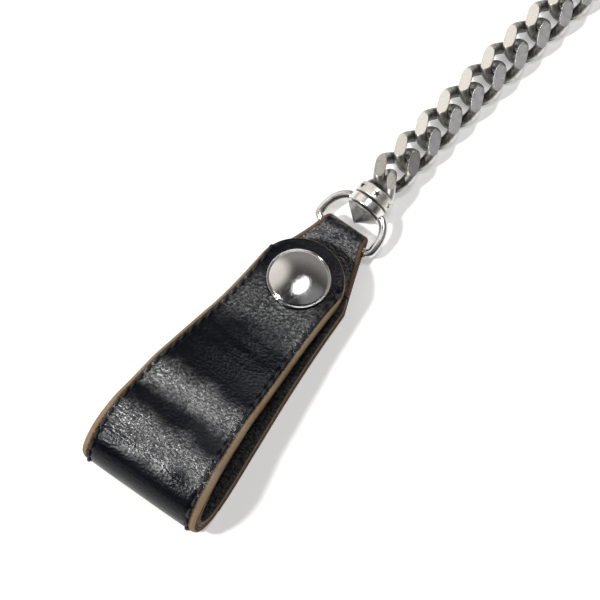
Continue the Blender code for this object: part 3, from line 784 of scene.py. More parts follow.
def leather_piece(
    name, path, low, high, inset, rounding, material, tip=False, stitches=(), worn=False, band=None
):
    """A layer of the strap between the heights low and high off the path's line, as one closed mesh.

    band is the width of the bare edge; without it the width comes from the table and also shapes the bevel.
    """
    s_tip = path.s_at_x(SNAP_X, path.s[-1] * 0.5) if tip else path.s[-1]
    count = max(8, int(s_tip / (0.45 * MM)))
    lengths = np.linspace(0.0, s_tip, count + 1)
    columns = [("side", s, 1.0) for s in lengths]
    turns = 48 if tip else 0
    for i in range(1, turns):
        columns.append(("tip", s_tip, math.pi / 2 - math.pi * i / turns))
    columns.extend(("side", s, -1.0) for s in lengths[::-1])
    verts = []
    flats = []
    edges = []
    for kind, s, turn in columns:
        side = turn if kind == "side" else math.copysign(1.0, turn)
        reach = path.half(s, side) - inset
        beyond = 0.0 if kind == "side" else reach * math.cos(turn)
        bare = band or along_table(BAND_OUTLINE, path.at(s)[0] + beyond)[0 if side > 0 else 1]
        bevel = rounding[0] if band else (bare, rounding[0][1])
        edge = section_points(low, high, bevel, rounding[1])
        top_wide = edge[0][0]
        low_wide = edge[-1][0]
        section = [(reach - (reach - top_wide) * k / INNER_STEPS, high) for k in range(INNER_STEPS)]
        section += edge
        section += [(low_wide + (reach - low_wide) * k / INNER_STEPS, low) for k in range(1, INNER_STEPS + 1)]
        for d, h in section:
            radial = reach - d
            if kind == "side":
                ps, py = s, radial * turn
            else:
                ps = s_tip + radial * math.cos(turn)
                py = radial * math.sin(turn)
            height = h
            if h > (low + high) / 2:
                height -= dimple(d + inset, ps, bare, stitches)
            ps = min(ps, float(path.s[-1]))
            if worn:
                height += swell(path.at(ps)[0], py)
            verts.append(path.point(ps, py, height))
            flats.append((ps / MM, py / MM, h / MM))
            edges.append(d / bare)
    rows = 2 * INNER_STEPS + 2 * (EDGE_STEPS + 1)
    faces = []
    for i in range(len(columns) - 1):
        if i == count and not tip:
            continue
        for k in range(rows - 1):
            a = i * rows + k
            b = a + rows
            faces.append((a, a + 1, b + 1, b))
    last = (len(columns) - 1) * rows
    if not tip:
        end = count * rows
        far = tuple(end + rows + k for k in reversed(range(rows)))
        faces.append(tuple(end + k for k in range(rows)) + far)
    faces.append(tuple(last + k for k in range(rows)) + tuple(k for k in reversed(range(rows))))
    return build(
        name,
        verts,
        faces,
        [material],
        smooth_angle=50.0,
        weld=1e-7,
        attributes={"flat": np.array(flats), "edge": np.array(edges)},
    )


def stitch(path, s, y, height, slant, sign, worn):
    """One thread stitch: a short sausage whose ends dip into the leather."""
    points = []
    sizes = []
    steps = 10
    for i in range(steps + 1):
        t = i / steps
        along = s + (t - 0.5) * STITCH_LENGTH
        lift = math.sin(math.pi * t) ** 0.5 if 0 < t < 1 else 0.0
        side = y + slant * (t - 0.5)
        rise = swell(path.at(along)[0], side) if worn else 0.0
        points.append(path.point(along, side, height + rise + sign * (lift * 0.5 - 0.36) * MM))
        sizes.append(THREAD_R * (0.55 + 0.45 * math.sin(math.pi * t)))
    middle = path.at(s)[2]
    up = Vector((math.cos(middle), 0.0, math.sin(middle)))
    return swept(points, sizes, 10, False, up)


def stitch_row(name, path, side, start, stop, height, sign, worn=False):
    verts = []
    faces = []
    count = int(round((stop - start) / STITCH_PITCH))
    for i in range(count):
        s = start + (i + 0.5) * STITCH_PITCH
        bare = along_table(BAND_OUTLINE, path.at(s)[0])[0 if side > 0 else 1]
        inset = bare + STITCH_IN if worn else STITCH_INSET
        y = side * (path.half(s, side) - inset)
        wobble = noise.noise(Vector((i * 0.73, side * 5.0, height * 900)))
        slant = (0.32 + 0.2 * wobble) * MM
        more, quads = stitch(path, s, y + wobble * 0.12 * MM, height, slant, sign, worn)
        base = len(verts)
        verts.extend(more)
        faces.extend(tuple(base + k for k in f) for f in quads)
    return build(name, verts, faces, [THREAD], 60.0)


def bend_at_fold(item):
    """Bakes the piece's placement into its mesh, so it stays where it is."""
    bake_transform(item)


LINING_BAND = 0.35 * MM
BACK_BAND = 0.9 * MM
OUTER_LOW = GAP / 2
OUTER_HIGH = GAP / 2 + OUTER_T
LINING_LOW = -GAP / 2 - LINING_T
LINING_HIGH = -GAP / 2


def make_leather():
    fold = fold_path()
    tab = tab_path()
    s_snap = fold.s_at_x(STITCH_END, fold.s[-1] * 0.5)
    stitch_from = 1.0 * MM
    span = int((s_snap - stitch_from) / STITCH_PITCH) * STITCH_PITCH
    rows = ((stitch_from, stitch_from + span),)
    outer_round = ((0.95 * MM, 0.8 * MM), (0.25 * MM, 0.45 * MM))
    lining_round = ((0.15 * MM, 0.2 * MM), (0.35 * MM, 0.4 * MM))
    outer = leather_piece(
        "strap_fold", fold, OUTER_LOW, OUTER_HIGH, 0.0, outer_round, LEATHER, True, rows, True
    )
    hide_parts("flap_outer")
    bend_at_fold(outer)
    inner = leather_piece(
        "lining_fold", fold, LINING_LOW, LINING_HIGH, LINING_INSET, lining_round, LINING, True, (), True,
        LINING_BAND,
    )
    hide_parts("flap_lining")
    bend_at_fold(inner)

    back = leather_piece(
        "strap_back_skin", tab, OUTER_LOW, OUTER_HIGH, 0.0, outer_round, BACK_LEATHER_PAINTED_SHADE, band=BACK_BAND
    )
    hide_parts("strap_back")
    cut_snap_seat(back)
    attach(back, "root")
    flat = flat_path(LINING_END)
    lining = leather_piece(
        "lining_back", flat, LINING_LOW, LINING_HIGH, LINING_INSET, lining_round, LINING, band=LINING_BAND
    )
    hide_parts("back_lining")
    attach(lining, "root")

    s_start = flat.s_at_x_back(30.0 * MM)
    s_stop = s_start + int((flat.s[-1] - s_start) / STITCH_PITCH) * STITCH_PITCH
    flap_rows = (fold, stitch_from, stitch_from + span, True)
    back_rows = (flat, s_start, s_stop, False)
    for side, word in ((1.0, "left"), (-1.0, "right")):
        for name, (line, start, stop, worn), height, sign in (
            ("thread_fold", flap_rows, OUTER_HIGH, 1.0),
            ("thread_inside", flap_rows, LINING_LOW, -1.0),
            ("thread_back", back_rows, OUTER_HIGH, 1.0),
            ("thread_back_inside", back_rows, LINING_LOW, -1.0),
        ):
            row = stitch_row(f"{name}_{word}", line, side, start, stop, height, sign, worn)
            if worn:
                bend_at_fold(row)
            else:
                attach(row, "root")


def cut_snap_seat(back):
    low = back_frame()
    verts, faces = turned([(-MM, 4.7 * MM), (1.05 * MM, 4.7 * MM)], 64, low)
    boolean(back, build("seat", verts, faces, [BACK_LEATHER_PAINTED_SHADE]))


# ---------------------------------------------------------------- snap


def snap_frame():
    up = Matrix.Rotation(-math.pi / 2, 4, "Y")
    return Matrix.Translation((SNAP_X, 0.0, SNAP_Z)) @ Matrix.Rotation(SLOPE, 4, "Y") @ up


def back_frame():
    return Matrix.Translation((SNAP_X, 0.0, 0.0)) @ Matrix.Rotation(-math.pi / 2, 4, "Y")



def make_snap():
    top = snap_frame()
    low = back_frame()
    face = OUTER_T + GAP * 1.5
    wall = 0.85 * MM
    dome_h = CAP_H - wall
    bead = 0.19 * MM
    lip = 0.35 * MM
    edge_r = CAP_R - 2.2 * bead
    ball = (edge_r ** 2 + dome_h ** 2) / (2 * dome_h)
    tube_end = -LINING_T - 3.0 * GAP
    profile = [(tube_end, 1.7 * MM), (tube_end, 2.3 * MM), (face + 0.15 * MM, 2.3 * MM)]
    profile += [(face + 0.05 * MM, CAP_R - 0.9 * MM), (face + 0.12 * MM, CAP_R - 0.45 * MM)]
    for k in range(7):
        a = math.pi / 2 * k / 6
        x = face + 0.5 * MM - lip * math.cos(a)
        profile.append((x, CAP_R - lip + lip * math.sin(a)))
    for k in range(9):
        a = math.pi * k / 8
        profile.append((face + wall - bead + bead * 1.2 * math.sin(a), CAP_R - bead + bead * math.cos(a)))
    steps = 28
    for k in range(1, steps + 1):
        r = max(edge_r * (1 - k / steps), 0.02 * MM)
        profile.append((face + wall + math.sqrt(ball ** 2 - r ** 2) - math.sqrt(ball ** 2 - edge_r ** 2), r))
    verts, faces = turned(profile, 128, top)
    inverse = top.inverted()
    spokes = [(inverse @ v) for v in verts]
    spokes = np.array([(p.y / MM, p.z / MM, 0.0) for p in spokes])
    cap = build("cap_dome", verts, faces, [CAP_POLISH], 40.0, attributes={"spoke": spokes})
    finish_piece(cap, "snap_cap", "flap")

    roof = -LINING_T - GAP * 1.5
    depth = 2.0 * MM
    socket = [
        (roof, 2.7 * MM),
        (roof, SOCKET_R),
        (roof - depth, SOCKET_R),
        (roof - depth, 3.3 * MM),
        (roof - depth + 0.4 * MM, 3.3 * MM),
        (roof - depth + 0.4 * MM, 3.9 * MM),
        (roof - depth + 1.1 * MM, 3.9 * MM),
        (roof - depth + 1.1 * MM, 3.3 * MM),
        (roof - 0.5 * MM, 3.3 * MM),
        (roof - 0.5 * MM, 2.7 * MM),
    ]
    socket = rounded(socket, 0.22 * MM, 4, True)
    turned_piece("socket_ring", socket, 72, top, NICKEL, True, "snap_socket", "flap")

    points = []
    for i in range(60):
        a = math.radians(25 + 310 * i / 59)
        points.append(Vector((roof - depth + 0.75 * MM, 3.45 * MM * math.cos(a), 3.45 * MM * math.sin(a))))
    verts, faces = swept(points, 0.22 * MM, 12, False, Vector((1, 0, 0)), top)
    item = build("socket_spring", verts, faces, [STEEL], 50.0)
    finish_piece(item, "snap_spring", "flap")

    seat = OUTER_T + 2 * GAP + LINING_T
    stud = [
        (seat, 1.9 * MM),
        (seat, 4.5 * MM),
        (seat + 0.4 * MM, 4.5 * MM),
        (seat + 0.5 * MM, 2.3 * MM),
        (seat + 1.4 * MM, 2.3 * MM),
        (seat + 1.9 * MM, STUD_R),
        (seat + 2.3 * MM, 2.4 * MM),
        (seat + 2.4 * MM, 1.6 * MM),
        (seat + 1.9 * MM, 1.6 * MM),
        (seat + 1.9 * MM, 1.9 * MM),
    ]
    stud = rounded(stud, 0.18 * MM, 4, True)
    turned_piece("stud_ring", stud, 72, low, NICKEL, True, "snap_stud", "root")

    post = [
        (0.05 * MM, 0.01 * MM),
        (0.05 * MM, 3.6 * MM),
        (0.25 * MM, 4.3 * MM),
        (0.75 * MM, 4.3 * MM),
        (0.75 * MM, 1.55 * MM),
        (seat + 1.5 * MM, 1.55 * MM),
        (seat + 1.5 * MM, 0.01 * MM),
    ]
    post = rounded(post, 0.15 * MM)
    turned_piece("post_rivet", post, 72, low, NICKEL, False, "snap_post", "root")


# ---------------------------------------------------------------- ring and swivel


def level_frame(origin, along):
    """A frame at the origin with +X along the given way and +Y level."""
    x = along.normalized()
    y = Vector((0, 0, 1)).cross(x).normalized()
    z = x.cross(y)
    place = Matrix((x, y, z)).transposed().to_4x4()
    place.translation = origin
    return place


BOSS = Vector(JOINTS["swivel_turn"]["pos_m"])
AXIS = level_frame(BOSS, Vector(JOINTS["swivel_turn"]["axis"]))
RING = level_frame(BAR, BOSS - BAR)


def ring_points():
    corner = RING_CORNER
    straight = RING_HALF - RING_CORNER - 0.8 * MM
    points = [Vector((0.0, y, 0.0)) for y in np.linspace(-straight, straight, 12)]
    for i in range(1, 10):
        a = -math.pi / 2 + math.pi / 2 * i / 10
        points.append(
            Vector((corner + corner * math.sin(a), RING_HALF - corner + corner * math.cos(a), 0.0))
        )
    arc = 72
    for i in range(arc + 1):
        a = math.pi / 2 - math.pi * i / arc
        reach = max(0.0, math.cos(a)) ** (2 / RING_SQUARE)
        wide = math.copysign(abs(math.sin(a)) ** (2 / RING_SQUARE), a)
        x = corner + (RING_DEPTH + RING_OVER - corner) * reach
        points.append(Vector((min(x, RING_DEPTH), RING_HALF * wide, 0.0)))
    for i in range(1, 10):
        a = math.pi / 2 * i / 10
        points.append(
            Vector((corner - corner * math.sin(a), -RING_HALF + corner - corner * math.cos(a), 0.0))
        )
    return even(points, 150, True)


def even(points, count, closed):
    """The same line with its points evenly spaced."""
    line = points + [points[0]] if closed else points
    gaps = [(b - a).length for a, b in zip(line, line[1:])]
    s = np.concatenate([[0.0], np.cumsum(gaps)])
    wanted = np.linspace(0.0, s[-1], count + 1)[:-1] if closed else np.linspace(0.0, s[-1], count)
    table = np.array([tuple(p) for p in line])
    return [Vector([float(np.interp(w, s, table[:, k])) for k in range(3)]) for w in wanted]


def link_centre(t, a, b, roll=0.0):
    c = math.cos(t)
    s = math.sin(t)
    x = a * math.copysign(abs(c) ** (2 / LINK_SQUARE), c)
    y = b * math.copysign(abs(s) ** (2 / LINK_SQUARE), s)
    turn = roll - LINK_TWIST * math.sin(math.pi / 2 * x / a)
    return Vector((x, y * math.cos(turn), y * math.sin(turn)))


def half_link(a, b, start, roll, steps=60):
    first = math.acos(max(-1.0, min(1.0, start / a)))
    points = [link_centre(first - 2 * first * i / (steps - 1), a, b, roll) for i in range(steps)]
    return even(points, steps, False)


def grind(item, cuts, flat_index, rim=0.1 * MM):
    """Cuts flats on the mesh with planes (point, normal) and rounds their rims.

    The flats take the material flat_index.
    """
    for point, normal in cuts:
        across = Vector((1.0, 0.0, 0.0))
        along = normal.cross(across).normalized()
        size = 20 * MM
        corners = []
        for height in (0.0, size):
            for u, v in ((-1, -1), (1, -1), (1, 1), (-1, 1)):
                corners.append(point + across * u * size + along * v * size + normal * height)
        materials = list(item.data.materials)
        stone = build("stone", corners, BOX_FACES, materials, 20.0, indices=[flat_index] * 6)
        boolean(item, stone, keep_material=True)
    work = bmesh.new()
    work.from_mesh(item.data)
    rims = [e for e in work.edges if sum(f.material_index == flat_index for f in e.link_faces) == 1]
    bmesh.ops.bevel(
        work, geom=rims, offset=rim, segments=2, affect="EDGES", profile=0.6, clamp_overlap=True,
        material=flat_index,
    )
    wide = [f for f in work.faces if f.material_index == flat_index and f.calc_area() > MM * MM]
    bmesh.ops.inset_individual(work, faces=wide, thickness=0.04 * MM, use_even_offset=True)
    work.to_mesh(item.data)
    work.free()
    resmooth(item, 28)


def add_wear(item, wear_at):
    """Writes the attribute "wear" from each vertex's place and normal."""
    mesh = item.data
    layer = mesh.attributes.get("wear") or mesh.attributes.new("wear", "FLOAT", "POINT")
    values = [wear_at(v.co, v.normal) for v in mesh.vertices]
    layer.data.foreach_set("value", values)


def star_cutter(place):
    """A five-pointed prism that stands across the barrel's wall. Its +Z is outward."""
    rings = []
    for z in (-STAR_DEPTH, 1.0 * MM):
        ring = []
        for k in range(10):
            a = math.pi / 2 + math.pi * k / 5
            r = STAR_R if k % 2 == 0 else STAR_R * 0.42
            ring.append(place @ Vector((r * math.cos(a), r * math.sin(a), z)))
        rings.append(ring)
    verts, faces = loft(rings)
    return build("star", verts, faces, [STAR_DARK])


def make_ring_and_swivel():
    verts, faces = swept(ring_points(), WIRE_R, 24, True, Vector((0, 0, 1)), RING)
    ring = build("ring_wire", verts, faces, [NICKEL], 60.0)
    boss = [
        (-BOSS_T / 2, SHANK_R + GAP),
        (-BOSS_T / 2, BOSS_R),
        (BOSS_T / 2, BOSS_R),
        (BOSS_T / 2, SHANK_R + GAP),
    ]
    verts, faces = turned(rounded(boss, 0.28 * MM, 5, True), 96, AXIS, closed_profile=True)
    boolean(ring, build("boss", verts, faces, [NICKEL], 40.0), "UNION")
    resmooth(ring, 40)
    finish_piece(ring, "d_ring", "ring")

    base = -BOSS_T / 2 - GAP
    sides = 8
    rings = []
    for x, radius in ((base - HEAD_L, 0.12 * MM), (base - 0.3 * MM, HEAD_R), (base, HEAD_R - 0.15 * MM)):
        rings.append(
            [
                AXIS @ Vector((x, radius * math.cos(a), radius * math.sin(a)))
                for a in [2 * math.pi * (k + 0.5) / sides for k in range(sides)]
            ]
        )
    verts, faces = loft(rings)
    head = build("head", verts, faces, [SILVER_BODY], 5.0)
    soften(head, 0.09 * MM, 3)
    verts, faces = turned([(base - 0.5 * MM, SHANK_R), (SHANK_END, SHANK_R)], 32, AXIS)
    boolean(head, build("shank", verts, faces, [SILVER_BODY]), "UNION")
    head.name = "pin_head"
    head.data.set_sharp_from_angle(angle=math.radians(20))
    add_wear(head, lambda co, normal: 0.55)
    finish_piece(head, "swivel_pin", "swivel")

    barrel = [
        (BARREL_START, SHANK_R + GAP),
        (BARREL_START, BARREL_R),
        (BARREL_END - 0.2 * MM, BARREL_R),
        (BARREL_END, BARREL_R - 0.7 * MM),
        (BARREL_END, SHANK_R + GAP),
    ]
    verts, faces = turned(rounded(barrel, 0.25 * MM, 5, True), 96, AXIS, closed_profile=True)
    item = build("barrel_body", verts, faces, [SILVER_BODY, STAR_DARK, SILVER_FLAT], 40.0)
    for k in range(STARS):
        a = math.radians(42.0 + 360.0 * k / STARS)
        out = Vector((0.0, math.cos(a), math.sin(a)))
        along = Vector((1.0, 0.0, 0.0))
        cross = out.cross(along)
        local = Matrix((cross, along, out)).transposed().to_4x4()
        local.translation = Vector(((BARREL_START + BARREL_END - 0.2 * MM) / 2, 0, 0)) + out * BARREL_R
        boolean(item, star_cutter(AXIS @ local), keep_material=True)
    eye_place = AXIS @ Matrix.Translation((EYE_CENTRE, 0, 0)) @ Matrix.Rotation(EYE_YAW, 4, "Z")
    points = half_link(EYE_A, EYE_B, -0.8 * MM, EYE_ROLL)
    verts, faces = swept(points, EYE_R, 20, False, Vector((0, 0.34, 0.94)), eye_place)
    eye = build("eye", verts, faces, [SILVER_BODY, STAR_DARK, SILVER_FLAT], 60.0)
    crest = max((v.co for v in eye.data.vertices), key=lambda co: co.z).copy()
    tilt = Vector((0.0, 0.12, 1.0)).normalized()
    grind(eye, [(crest - tilt * 0.5 * MM, tilt)], 2)
    boolean(item, eye, "UNION", keep_material=True)
    resmooth(item, 35)
    inverse = AXIS.inverted()

    def barrel_wear(co, normal):
        p = inverse @ co
        r = math.hypot(p.y, p.z)
        return 0.85 if r > BARREL_R - 0.4 * MM else 0.45

    add_wear(item, barrel_wear)
    finish_piece(item, "swivel_barrel", "swivel")


def soften(item, width, segments):
    """Rounds every sharp edge of a faceted mesh."""
    work = bmesh.new()
    work.from_mesh(item.data)
    edges = [e for e in work.edges if len(e.link_faces) == 2 and e.calc_face_angle() > math.radians(12)]
    bmesh.ops.bevel(work, geom=edges, offset=width, segments=segments, affect="EDGES", clamp_overlap=True)
    work.to_mesh(item.data)
    work.free()


# ---------------------------------------------------------------- chain


def link_rings():
    steps = 112
    sides = 24
    points = [link_centre(2 * math.pi * i / steps, LINK_A, LINK_B) for i in range(steps)]
    points = even(points, steps, True)
    return swept(points, LINK_R, sides, True, Vector((0, 0, 1)), square=LINK_SQUARE)


def link_wear(co, normal):
    """Outer sides and the rims of the flats are worn bright, the inside of the eye is dark."""
    outward = normal.y * math.copysign(1.0, co.y)
    outer = smoothstep((abs(co.y) - 3.3 * MM) / (1.6 * MM)) * max(0.0, outward)
    high = smoothstep((abs(co.z) - 1.9 * MM) / (1.0 * MM)) * 0.3
    return min(1.0, 0.3 + 0.5 * outer + high)


def make_chain():
    verts, faces = link_rings()
    master = build("link_master", verts, faces, [SILVER_BODY, SILVER_FLAT], 60.0)
    cuts = []
    lean = math.sin(FACET_TILT)
    rise = math.cos(FACET_TILT)
    for side in (1.0, -1.0):
        for up in (1.0, -1.0):
            point = Vector((0.0, side * FACET_Y, up * FACET_H))
            cuts.append((point, Vector((0.0, side * lean, up * rise))))
    grind(master, cuts, 1, 0.09 * MM)
    add_wear(master, link_wear)
    names = sorted(name for name in frame["nodes"] if name.startswith("link_"))
    starts = [Vector(next(j for j in frame["joints"] if j["child"] == name)["pos_m"]) for name in names]
    starts.append(Vector(JOINTS["clasp_eye_lift"]["pos_m"]))
    for i, name in enumerate(names):
        middle = (starts[i] + starts[i + 1]) / 2
        item = bpy.data.objects.new(name.replace("link", "curb"), master.data)
        bpy.context.scene.collection.objects.link(item)
        item.matrix_world = level_frame(middle, starts[i + 1] - starts[i])
        finish_piece(item, name, name)
    bpy.data.objects.remove(master, do_unlink=True)


# ---------------------------------------------------------------- clasp


def bore(item, pivot):
    """Cuts the gate pin's hole."""
    verts, faces = turned([(-4 * MM, BORE_R), (4 * MM, BORE_R)], 32, pivot)
    boolean(item, build("bore", verts, faces, [SILVER_BODY]))


def make_clasp():
    turn = JOINTS["clasp_turn"]
    along = Vector(turn["axis"])
    place = level_frame(Vector(turn["pos_m"]) - along * CLASP_BARREL, along)
    start = CLASP_BARREL
    barrel = [
        (start, 0.01 * MM),
        (start, CLASP_R),
        (start + 3.0 * MM, CLASP_R),
        (start + 3.0 * MM, STEM_R),
        (start + 6.9 * MM, STEM_R),
        (start + 6.9 * MM, 2.4 * MM),
        (start + 7.9 * MM, 2.4 * MM),
        (start + 7.9 * MM, 0.01 * MM),
    ]
    verts, faces = turned(rounded(barrel, 0.3 * MM, 5), 72, place)
    eye = build("clasp_swivel_eye", verts, faces, [SILVER_BODY, SILVER_FLAT], 40.0)
    reach = CLASP_BARREL + 1.2 * MM + LINK_A - PITCH / 2
    eye_place = place @ Matrix.Translation((CLASP_BARREL + 1.2 * MM, 0, 0)) @ Matrix.Rotation(math.pi, 4, "Z")
    points = half_link(reach, 3.0 * MM, -0.6 * MM, 0.0)
    verts, faces = swept(points, BOW_R, 20, False, Vector((0, 0, 1)), eye_place)
    boolean(eye, build("bow", verts, faces, [SILVER_BODY], 60.0), "UNION")
    eye.data.set_sharp_from_angle(angle=math.radians(40))
    add_wear(eye, lambda co, normal: 0.7)
    finish_piece(eye, "clasp_eye", "clasp_eye")

    collar = [
        (start + 3.3 * MM, STEM_R + GAP),
        (start + 3.3 * MM, CLASP_R),
        (start + 6.6 * MM, CLASP_R),
        (start + 6.6 * MM, STEM_R + GAP),
    ]
    verts, faces = turned(rounded(collar, 0.3 * MM, 5, True), 72, place, closed_profile=True)
    hook = build("clasp_hook_body", verts, faces, [SILVER_BODY], 40.0)
    leg = -HOOK_HALF
    points = [
        Vector((start + 5.0 * MM, -2.9 * MM, 0.0)),
        Vector((start + 6.4 * MM, leg * 0.72, 0.0)),
        Vector((HOOK_START, leg, 0.0)),
        Vector((HOOK_START + 6 * MM, leg, 0.0)),
    ]
    bend = HOOK_END - HOOK_HALF
    for i in range(25):
        a = -math.pi / 2 + math.pi * i / 24
        points.append(Vector((bend + HOOK_HALF * math.cos(a), HOOK_HALF * math.sin(a), 0.0)))
    points = smooth_line(points, 90)
    verts, faces = swept(points, HOOK_R, 24, False, Vector((0, 0, 1)), place)
    boolean(hook, build("wire", verts, faces, [SILVER_BODY], 60.0), "UNION")
    arm = smooth_line(
        [
            Vector((start + 5.0 * MM, 2.9 * MM, 0.0)),
            Vector((start + 7.4 * MM, HOOK_HALF * 0.85, 0.0)),
            Vector((GATE_X - 2.4 * MM, HOOK_HALF, 0.0)),
        ],
        24,
    )
    verts, faces = swept(arm, HOOK_R, 24, False, Vector((0, 0, 1)), place)
    boolean(hook, build("arm", verts, faces, [SILVER_BODY], 60.0), "UNION")
    for low, high in ((-2.6, -1.2), (1.2, 2.6)):
        corners = [
            place @ Vector((x * MM, y * MM, z * MM))
            for z in (low, high)
            for x, y in ((11.5, 4.6), (17.3, 4.6), (17.3, 7.4), (11.5, 7.4))
        ]
        lug = build("lug", corners, BOX_FACES, [SILVER_BODY], 20.0)
        soften(lug, 0.4 * MM, 3)
        boolean(hook, lug, "UNION")
    pivot = place @ Matrix.Translation((GATE_X, HOOK_HALF, 0.0)) @ Matrix.Rotation(-math.pi / 2, 4, "Y")
    bore(hook, pivot)
    hook.data.set_sharp_from_angle(angle=math.radians(40))
    add_wear(hook, lambda co, normal: 0.72)
    finish_piece(hook, "clasp_hook", "clasp_hook")

    pin = [(-2.9 * MM, 0.01 * MM), (-2.9 * MM, 0.65 * MM), (2.9 * MM, 0.65 * MM), (2.9 * MM, 0.01 * MM)]
    pin = rounded(pin, 0.15 * MM)
    turned_piece("gate_pin", pin, 32, pivot, STEEL, False, "clasp_pin", "clasp_hook")

    rings = []
    gate_end = bend - GAP
    for x, half_y, half_z in (
        (GATE_X - 1.4 * MM, 0.7 * MM, 0.9 * MM),
        (GATE_X - 0.7 * MM, 1.3 * MM, 0.9 * MM),
        (GATE_X + 2.2 * MM, 1.3 * MM, 0.9 * MM),
        (GATE_X + 3.6 * MM, 1.2 * MM, 1.2 * MM),
        (gate_end, 1.3 * MM, 1.3 * MM),
    ):
        ring = []
        for k in range(24):
            a = 2 * math.pi * (k + 0.5) / 24
            c = math.copysign(abs(math.cos(a)) ** 0.7, math.cos(a))
            s = math.copysign(abs(math.sin(a)) ** 0.7, math.sin(a))
            ring.append(place @ Vector((x, HOOK_HALF + half_y * c, half_z * s)))
        rings.append(ring)
    verts, faces = loft(rings)
    gate = build("gate_arm", verts, faces, [SILVER_BODY], 40.0)
    bore(gate, pivot)
    gate.data.set_sharp_from_angle(angle=math.radians(40))
    add_wear(gate, lambda co, normal: 0.75)
    finish_piece(gate, "clasp_gate", "clasp_gate")

    leaf = []
    for x, y in LEAF:
        leaf.append(
            [
                place @ Vector((x * MM, (y + dy) * MM, dz * MM))
                for dy, dz in ((0.0, -0.7), (0.35, -0.7), (0.35, 0.7), (0.0, 0.7))
            ]
        )
    verts, faces = loft(leaf)
    spring = build("gate_leaf", verts, faces, [STEEL], 30.0)
    soften(spring, 0.06 * MM, 2)
    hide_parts("clasp_spring")
    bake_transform(spring)


def smooth_line(points, count):
    """Evenly spaced points on a Catmull-Rom curve through the given ones."""
    dense = []
    last = len(points) - 1
    for i in range(last):
        p0 = points[max(0, i - 1)]
        p1, p2 = points[i], points[i + 1]
        p3 = points[min(last, i + 2)]
        for k in range(12):
            t = k / 12
            dense.append(
                0.5
                * (
                    2 * p1
                    + (p2 - p0) * t
                    + (2 * p0 - 5 * p1 + 4 * p2 - p3) * t * t
                    + (3 * p1 - p0 - 3 * p2 + p3) * t ** 3
                )
            )
    dense.append(points[-1])
    return even(dense, count, False)


# ---------------------------------------------------------------- stage, light and camera


def make_stage():
    mesh = bpy.data.meshes.new("floor")
    corners = [(u * FLOOR_HALF, v * FLOOR_HALF, 0) for u, v in ((-1, -1), (1, -1), (1, 1), (-1, 1))]
    mesh.from_pydata(corners, [], [(0, 1, 2, 3)])
    floor = bpy.data.objects.new("floor", mesh)
    bpy.context.scene.collection.objects.link(floor)
    n = Nodes("pale_floor")
    n.set("Base Color", rgb(0.86, 0.86, 0.85))
    n.set("Roughness", 0.9)
    n.set("Specular IOR Level", 0.2)
    n.set("Emission Color", rgb(1.0, 1.0, 0.99))
    n.set("Emission Strength", 0.33)
    mesh.materials.append(n.material)


def area_light(name, way, distance, size, power, long=None):
    """A light aimed at the snap. long is its size along Y, where that differs."""
    data = bpy.data.lights.new(name, "AREA")
    data.shape = "ELLIPSE"
    data.size = size
    data.size_y = long or size
    data.energy = power
    light = bpy.data.objects.new(name, data)
    bpy.context.scene.collection.objects.link(light)
    way = Vector(way).normalized()
    light.location = Vector((SNAP_X, 0.0, 10 * MM)) + way * distance
    light.rotation_mode = "QUATERNION"
    light.rotation_quaternion = way.to_track_quat("Z", "Y")


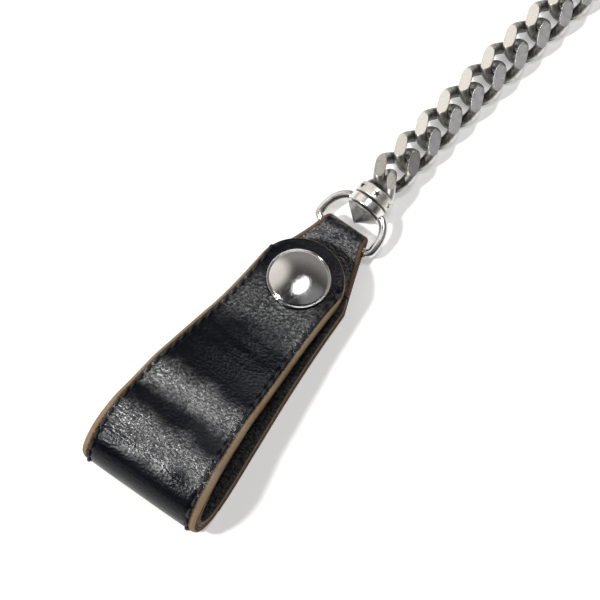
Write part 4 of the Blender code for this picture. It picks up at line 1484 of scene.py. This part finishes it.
def make_light():
    world = bpy.data.worlds.new("studio")
    bpy.context.scene.world = world
    world.use_nodes = True
    tree = world.node_tree
    sky = tree.nodes["Background"]
    coords = tree.nodes.new("ShaderNodeTexCoord")
    way = coords.outputs["Generated"]
    side = tree.nodes.new("ShaderNodeVectorMath")
    side.operation = "DOT_PRODUCT"
    tree.links.new(way, side.inputs[0])
    side.inputs[1].default_value = (-0.3, -0.2, 1.0)
    ramp = tree.nodes.new("ShaderNodeValToRGB")
    tree.links.new(side.outputs["Value"], ramp.inputs[0])
    stops = ramp.color_ramp
    stops.elements[0].position = 0.12
    stops.elements[0].color = (0.36, 0.345, 0.33, 1.0)
    stops.elements[1].position = 0.85
    stops.elements[1].color = (0.02, 0.02, 0.022, 1.0)
    middle = stops.elements.new(0.5)
    middle.color = (0.10, 0.092, 0.085, 1.0)
    colour = ramp.outputs[0]
    colour = add_glow(tree, way, colour, (0.12, 0.76, 0.64), 0.84, 0.965, (1.0, 0.96, 0.89, 1.0))
    colour = add_glow(tree, way, colour, (0.20, -0.48, 0.85), 0.89, 0.98, (0.26, 0.26, 0.27, 1.0))
    tree.links.new(colour, sky.inputs["Color"])
    sky.inputs["Strength"].default_value = 1.0

    area_light("overhead", (0.275, -0.03, 0.955), 0.7, 0.17, 1.3, long=0.32)
    area_light("key", (-0.51, 0.36, 0.78), 1.2, 0.13, 12.0)


def add_glow(tree, way, colour, centre, start, full, light):
    """Adds a soft bright patch to the sky. start and full are cosines of its outer and inner angle."""
    dot = tree.nodes.new("ShaderNodeVectorMath")
    dot.operation = "DOT_PRODUCT"
    tree.links.new(way, dot.inputs[0])
    dot.inputs[1].default_value = Vector(centre).normalized()
    fade = tree.nodes.new("ShaderNodeMapRange")
    fade.interpolation_type = "SMOOTHSTEP"
    tree.links.new(dot.outputs["Value"], fade.inputs["Value"])
    fade.inputs["From Min"].default_value = start
    fade.inputs["From Max"].default_value = full
    add = tree.nodes.new("ShaderNodeMix")
    add.data_type = "RGBA"
    add.blend_type = "ADD"
    tree.links.new(fade.outputs[0], add.inputs[0])
    tree.links.new(colour, add.inputs[6])
    add.inputs[7].default_value = light
    return add.outputs[2]


def make_camera():
    right = Vector((math.cos(AZIMUTH), -math.sin(AZIMUTH), 0.0))
    up = Vector(
        (
            math.sin(ELEVATION) * math.sin(AZIMUTH),
            math.sin(ELEVATION) * math.cos(AZIMUTH),
            math.cos(ELEVATION),
        )
    )
    back = right.cross(up)
    target = AIM + right * AIM_RIGHT - up * AIM_DOWN
    data = bpy.data.cameras.new("camera")
    data.lens = LENS
    data.sensor_width = 36.0
    data.clip_start = 0.05
    data.clip_end = 20.0
    camera = bpy.data.objects.new("camera", data)
    bpy.context.scene.collection.objects.link(camera)
    place = Matrix((right, up, back)).transposed().to_4x4()
    place.translation = target + back * CAMERA_DISTANCE
    camera.matrix_world = place
    bpy.context.scene.camera = camera
    bpy.context.scene.view_settings.view_transform = "Standard"


make_leather()
make_snap()
make_ring_and_swivel()
make_chain()
make_clasp()
make_stage()
make_light()
make_camera()
